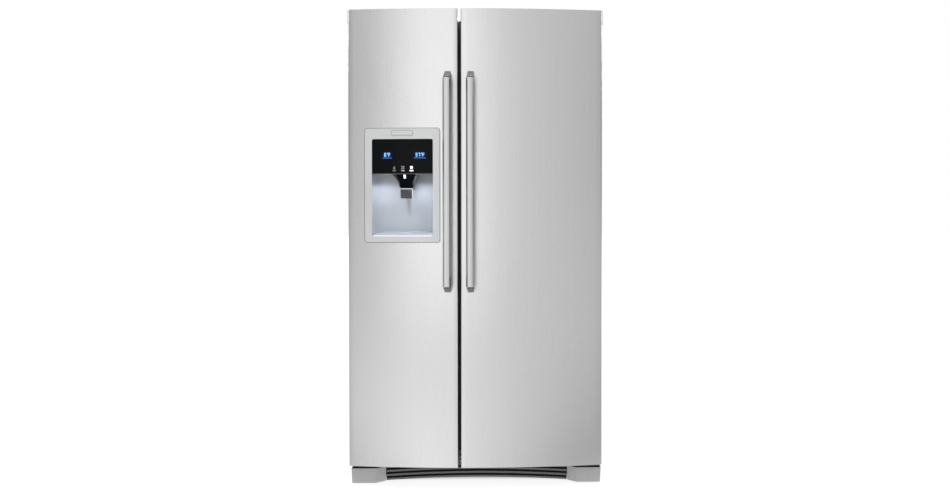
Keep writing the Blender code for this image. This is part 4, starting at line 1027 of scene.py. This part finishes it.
def rear_details():
    """Screws round the rear sheet, and two shallow stiffening strips across it."""
    low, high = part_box("rear_panel")
    sheet = high.y - SHEET_INSET
    side, top_drop, columns, rows = 0.010, 0.012, 4, 5
    shape = bmesh.new()
    xs = [low.x + side + (high.x - low.x - 2 * side) * i / columns for i in range(columns + 1)]
    for x in xs:
        for z in (high.z - top_drop, SCREW_FLOOR):
            hex_screw(shape, x, sheet, z)
    for x in (xs[0], xs[-1]):
        for row in range(1, rows):
            hex_screw(shape, x, sheet, SCREW_FLOOR + (high.z - SCREW_FLOOR - top_drop) * row / rows)
    piece("rear_screws", finish_mesh(shape), "cabinet", "screw_steel")
    strip_side, strip_height, strip_thick = 0.050, 0.030, 0.0014
    left, right = low.x + strip_side, high.x - strip_side
    for number, z in enumerate((0.760, 1.240), start=1):
        outline = rounded(left, z, right, z + strip_height, 0.014)
        strip = prism(outline, sheet + HAIR, sheet + strip_thick, "Y")
        piece(f"rear_stiffener_{number}", strip, "cabinet", "zinc", 0.0009, 3)


# Studio.


def floor_look():
    """A pale floor lit from within, so that shadows stay light.

    It gives no light under the case. In reflections it is dimmer in front, where the doors' steel shows it.
    """
    look = Look("floor", roughness=0.7, specular=0.1)
    cloud = look.noise((2, 2, 2), detail=4)
    look.colour(look.tint(cloud, (0.27, 0.27, 0.27), (0.29, 0.29, 0.29)))
    x, y, _ = look.add("ShaderNodeSeparateXYZ", {"Vector": look.place}).outputs
    side = look.maths("DIVIDE", x, look.scale(y, -1.0))
    left = look.spread(side, 0.16, 0.80, start=-1.09, stop=-0.37)
    right = look.spread(side, 0.0, -0.66, start=-0.25, stop=0.64)
    far = look.spread(y, 1.0, 0.0, start=-4.5, stop=-1.4)
    ahead = look.blend(far, look.sum(left, right), 0.46)
    away = look.add("ShaderNodeVectorMath", {0: look.place}, operation="LENGTH").outputs["Value"]
    around = look.spread(away, 0.84, 1.10, start=1.2, stop=6.0)
    front = look.spread(y, 0.0, 1.0, start=-0.62, stop=-0.40)
    seen = look.add("ShaderNodeLightPath").outputs["Is Camera Ray"]
    strength = look.blend(look.maths("MAXIMUM", front, seen), ahead, around)
    sideways = look.spread(look.maths("ABSOLUTE", x), 0.0, 1.0, start=0.36, stop=0.46)
    middle = look.maths("ABSOLUTE", look.sum(y, -0.08))
    lengthways = look.spread(middle, 0.0, 1.0, start=0.25, stop=0.325)
    outside = look.maths("MAXIMUM", sideways, lengthways)
    look.glow((1.0, 1.0, 1.0), look.scale(strength, outside))
    return look.material


def world():
    """White to the camera. In reflections, a room that is brighter overhead and in front of the doors."""
    studio_world = bpy.data.worlds.new("studio")
    bpy.context.scene.world = studio_world
    studio_world.use_nodes = True
    tree = studio_world.node_tree
    tree.nodes.clear()
    make, link = tree.nodes.new, tree.links.new
    way = make("ShaderNodeTexCoord").outputs["Generated"]
    split = make("ShaderNodeSeparateXYZ")
    link(way, split.inputs[0])

    def ramp_along(axis, start, stop):
        node = make("ShaderNodeMapRange")
        link(split.outputs[axis], node.inputs["Value"])
        node.inputs["From Min"].default_value = start
        node.inputs["From Max"].default_value = stop
        return node.outputs[0]

    around = make("ShaderNodeValToRGB")
    link(ramp_along("Y", 1.0, -1.0), around.inputs[0])
    stops = around.color_ramp.elements
    for place, grey in ((0.0, 0.45), (0.5, 0.18), (0.80, 0.33), (1.0, 0.66)):
        stop = stops[0] if place == 0.0 else stops[-1] if place == 1.0 else stops.new(place)
        stop.position = place
        stop.color = (grey, grey, grey, 1)
    blend = make("ShaderNodeMix")
    blend.data_type = "RGBA"
    link(ramp_along("Z", 0.15, 0.75), blend.inputs[0])
    link(around.outputs[0], blend.inputs[6])
    blend.inputs[7].default_value = (0.95, 0.95, 0.95, 1)
    glow, plain = make("ShaderNodeBackground"), make("ShaderNodeBackground")
    link(blend.outputs[2], glow.inputs["Color"])
    plain.inputs["Color"].default_value = (1, 1, 1, 1)
    pick = make("ShaderNodeMixShader")
    link(make("ShaderNodeLightPath").outputs["Is Camera Ray"], pick.inputs[0])
    link(glow.outputs[0], pick.inputs[1])
    link(plain.outputs[0], pick.inputs[2])
    link(pick.outputs[0], make("ShaderNodeOutputWorld").inputs[0])


def panels():
    """Soft boxes, each with its place, aim, size and power."""
    for name, place, aim, width, height, watts in (
        ("front_panel", (-0.98, -5.2, 1.80), (-0.98, 0, 1.80), 1.8, 3.6, 16.4),
        ("side_fill", (0.75, -5.4, 1.60), (0.75, 0, 1.60), 2.0, 3.2, 2.6),
        ("top_panel", (0.0, -0.9, 4.2), (0, 0.0, 0.0), 3.5, 3.0, 60.0),
        ("left_panel", (-4.2, 0.6, 3.1), (0, 0, 0.8), 2.2, 1.6, 60.0),
        ("right_panel", (4.2, 0.6, 3.1), (0, 0, 0.8), 2.2, 1.6, 60.0),
        ("back_panel", (0.0, 5.0, 2.6), (0, 0.4, 0.9), 3.0, 2.0, 60.0),
    ):
        panel = light(name, "AREA", place, watts, shape="RECTANGLE", size=width, size_y=height)
        panel.rotation_euler = (Vector(aim) - Vector(place)).to_track_quat("-Z", "Y").to_euler()
        panel.visible_camera = False


def studio():
    scene = bpy.context.scene
    scene.view_settings.view_transform = "Standard"
    shape = bmesh.new()
    bmesh.ops.create_grid(shape, x_segments=24, y_segments=24, size=30.0)
    floor = bpy.data.objects.new("floor", finish_mesh(shape))
    scene.collection.objects.link(floor)
    floor.data.materials.append(floor_look())
    world()
    panels()
    data = bpy.data.cameras.new("camera")
    data.lens = CAMERA_LENS
    data.shift_x, data.shift_y = CAMERA_SHIFT
    camera = bpy.data.objects.new("camera", data)
    camera.location = CAMERA_PLACE
    camera.rotation_euler = CAMERA_TURN
    scene.collection.objects.link(camera)
    scene.camera = camera


studio()
surfaces()
for shelf in ("freezer_shelf", "fridge_shelf_lower", "fridge_shelf_middle", "fridge_shelf_upper"):
    glass_shelf(shelf)
base_trim()
centre_trim()
grille()
display()
dispenser_trim()
chute()
paddle()
niche_lamps()
compartment_lamps()
air_panels()
bin_trims()
rear_details()
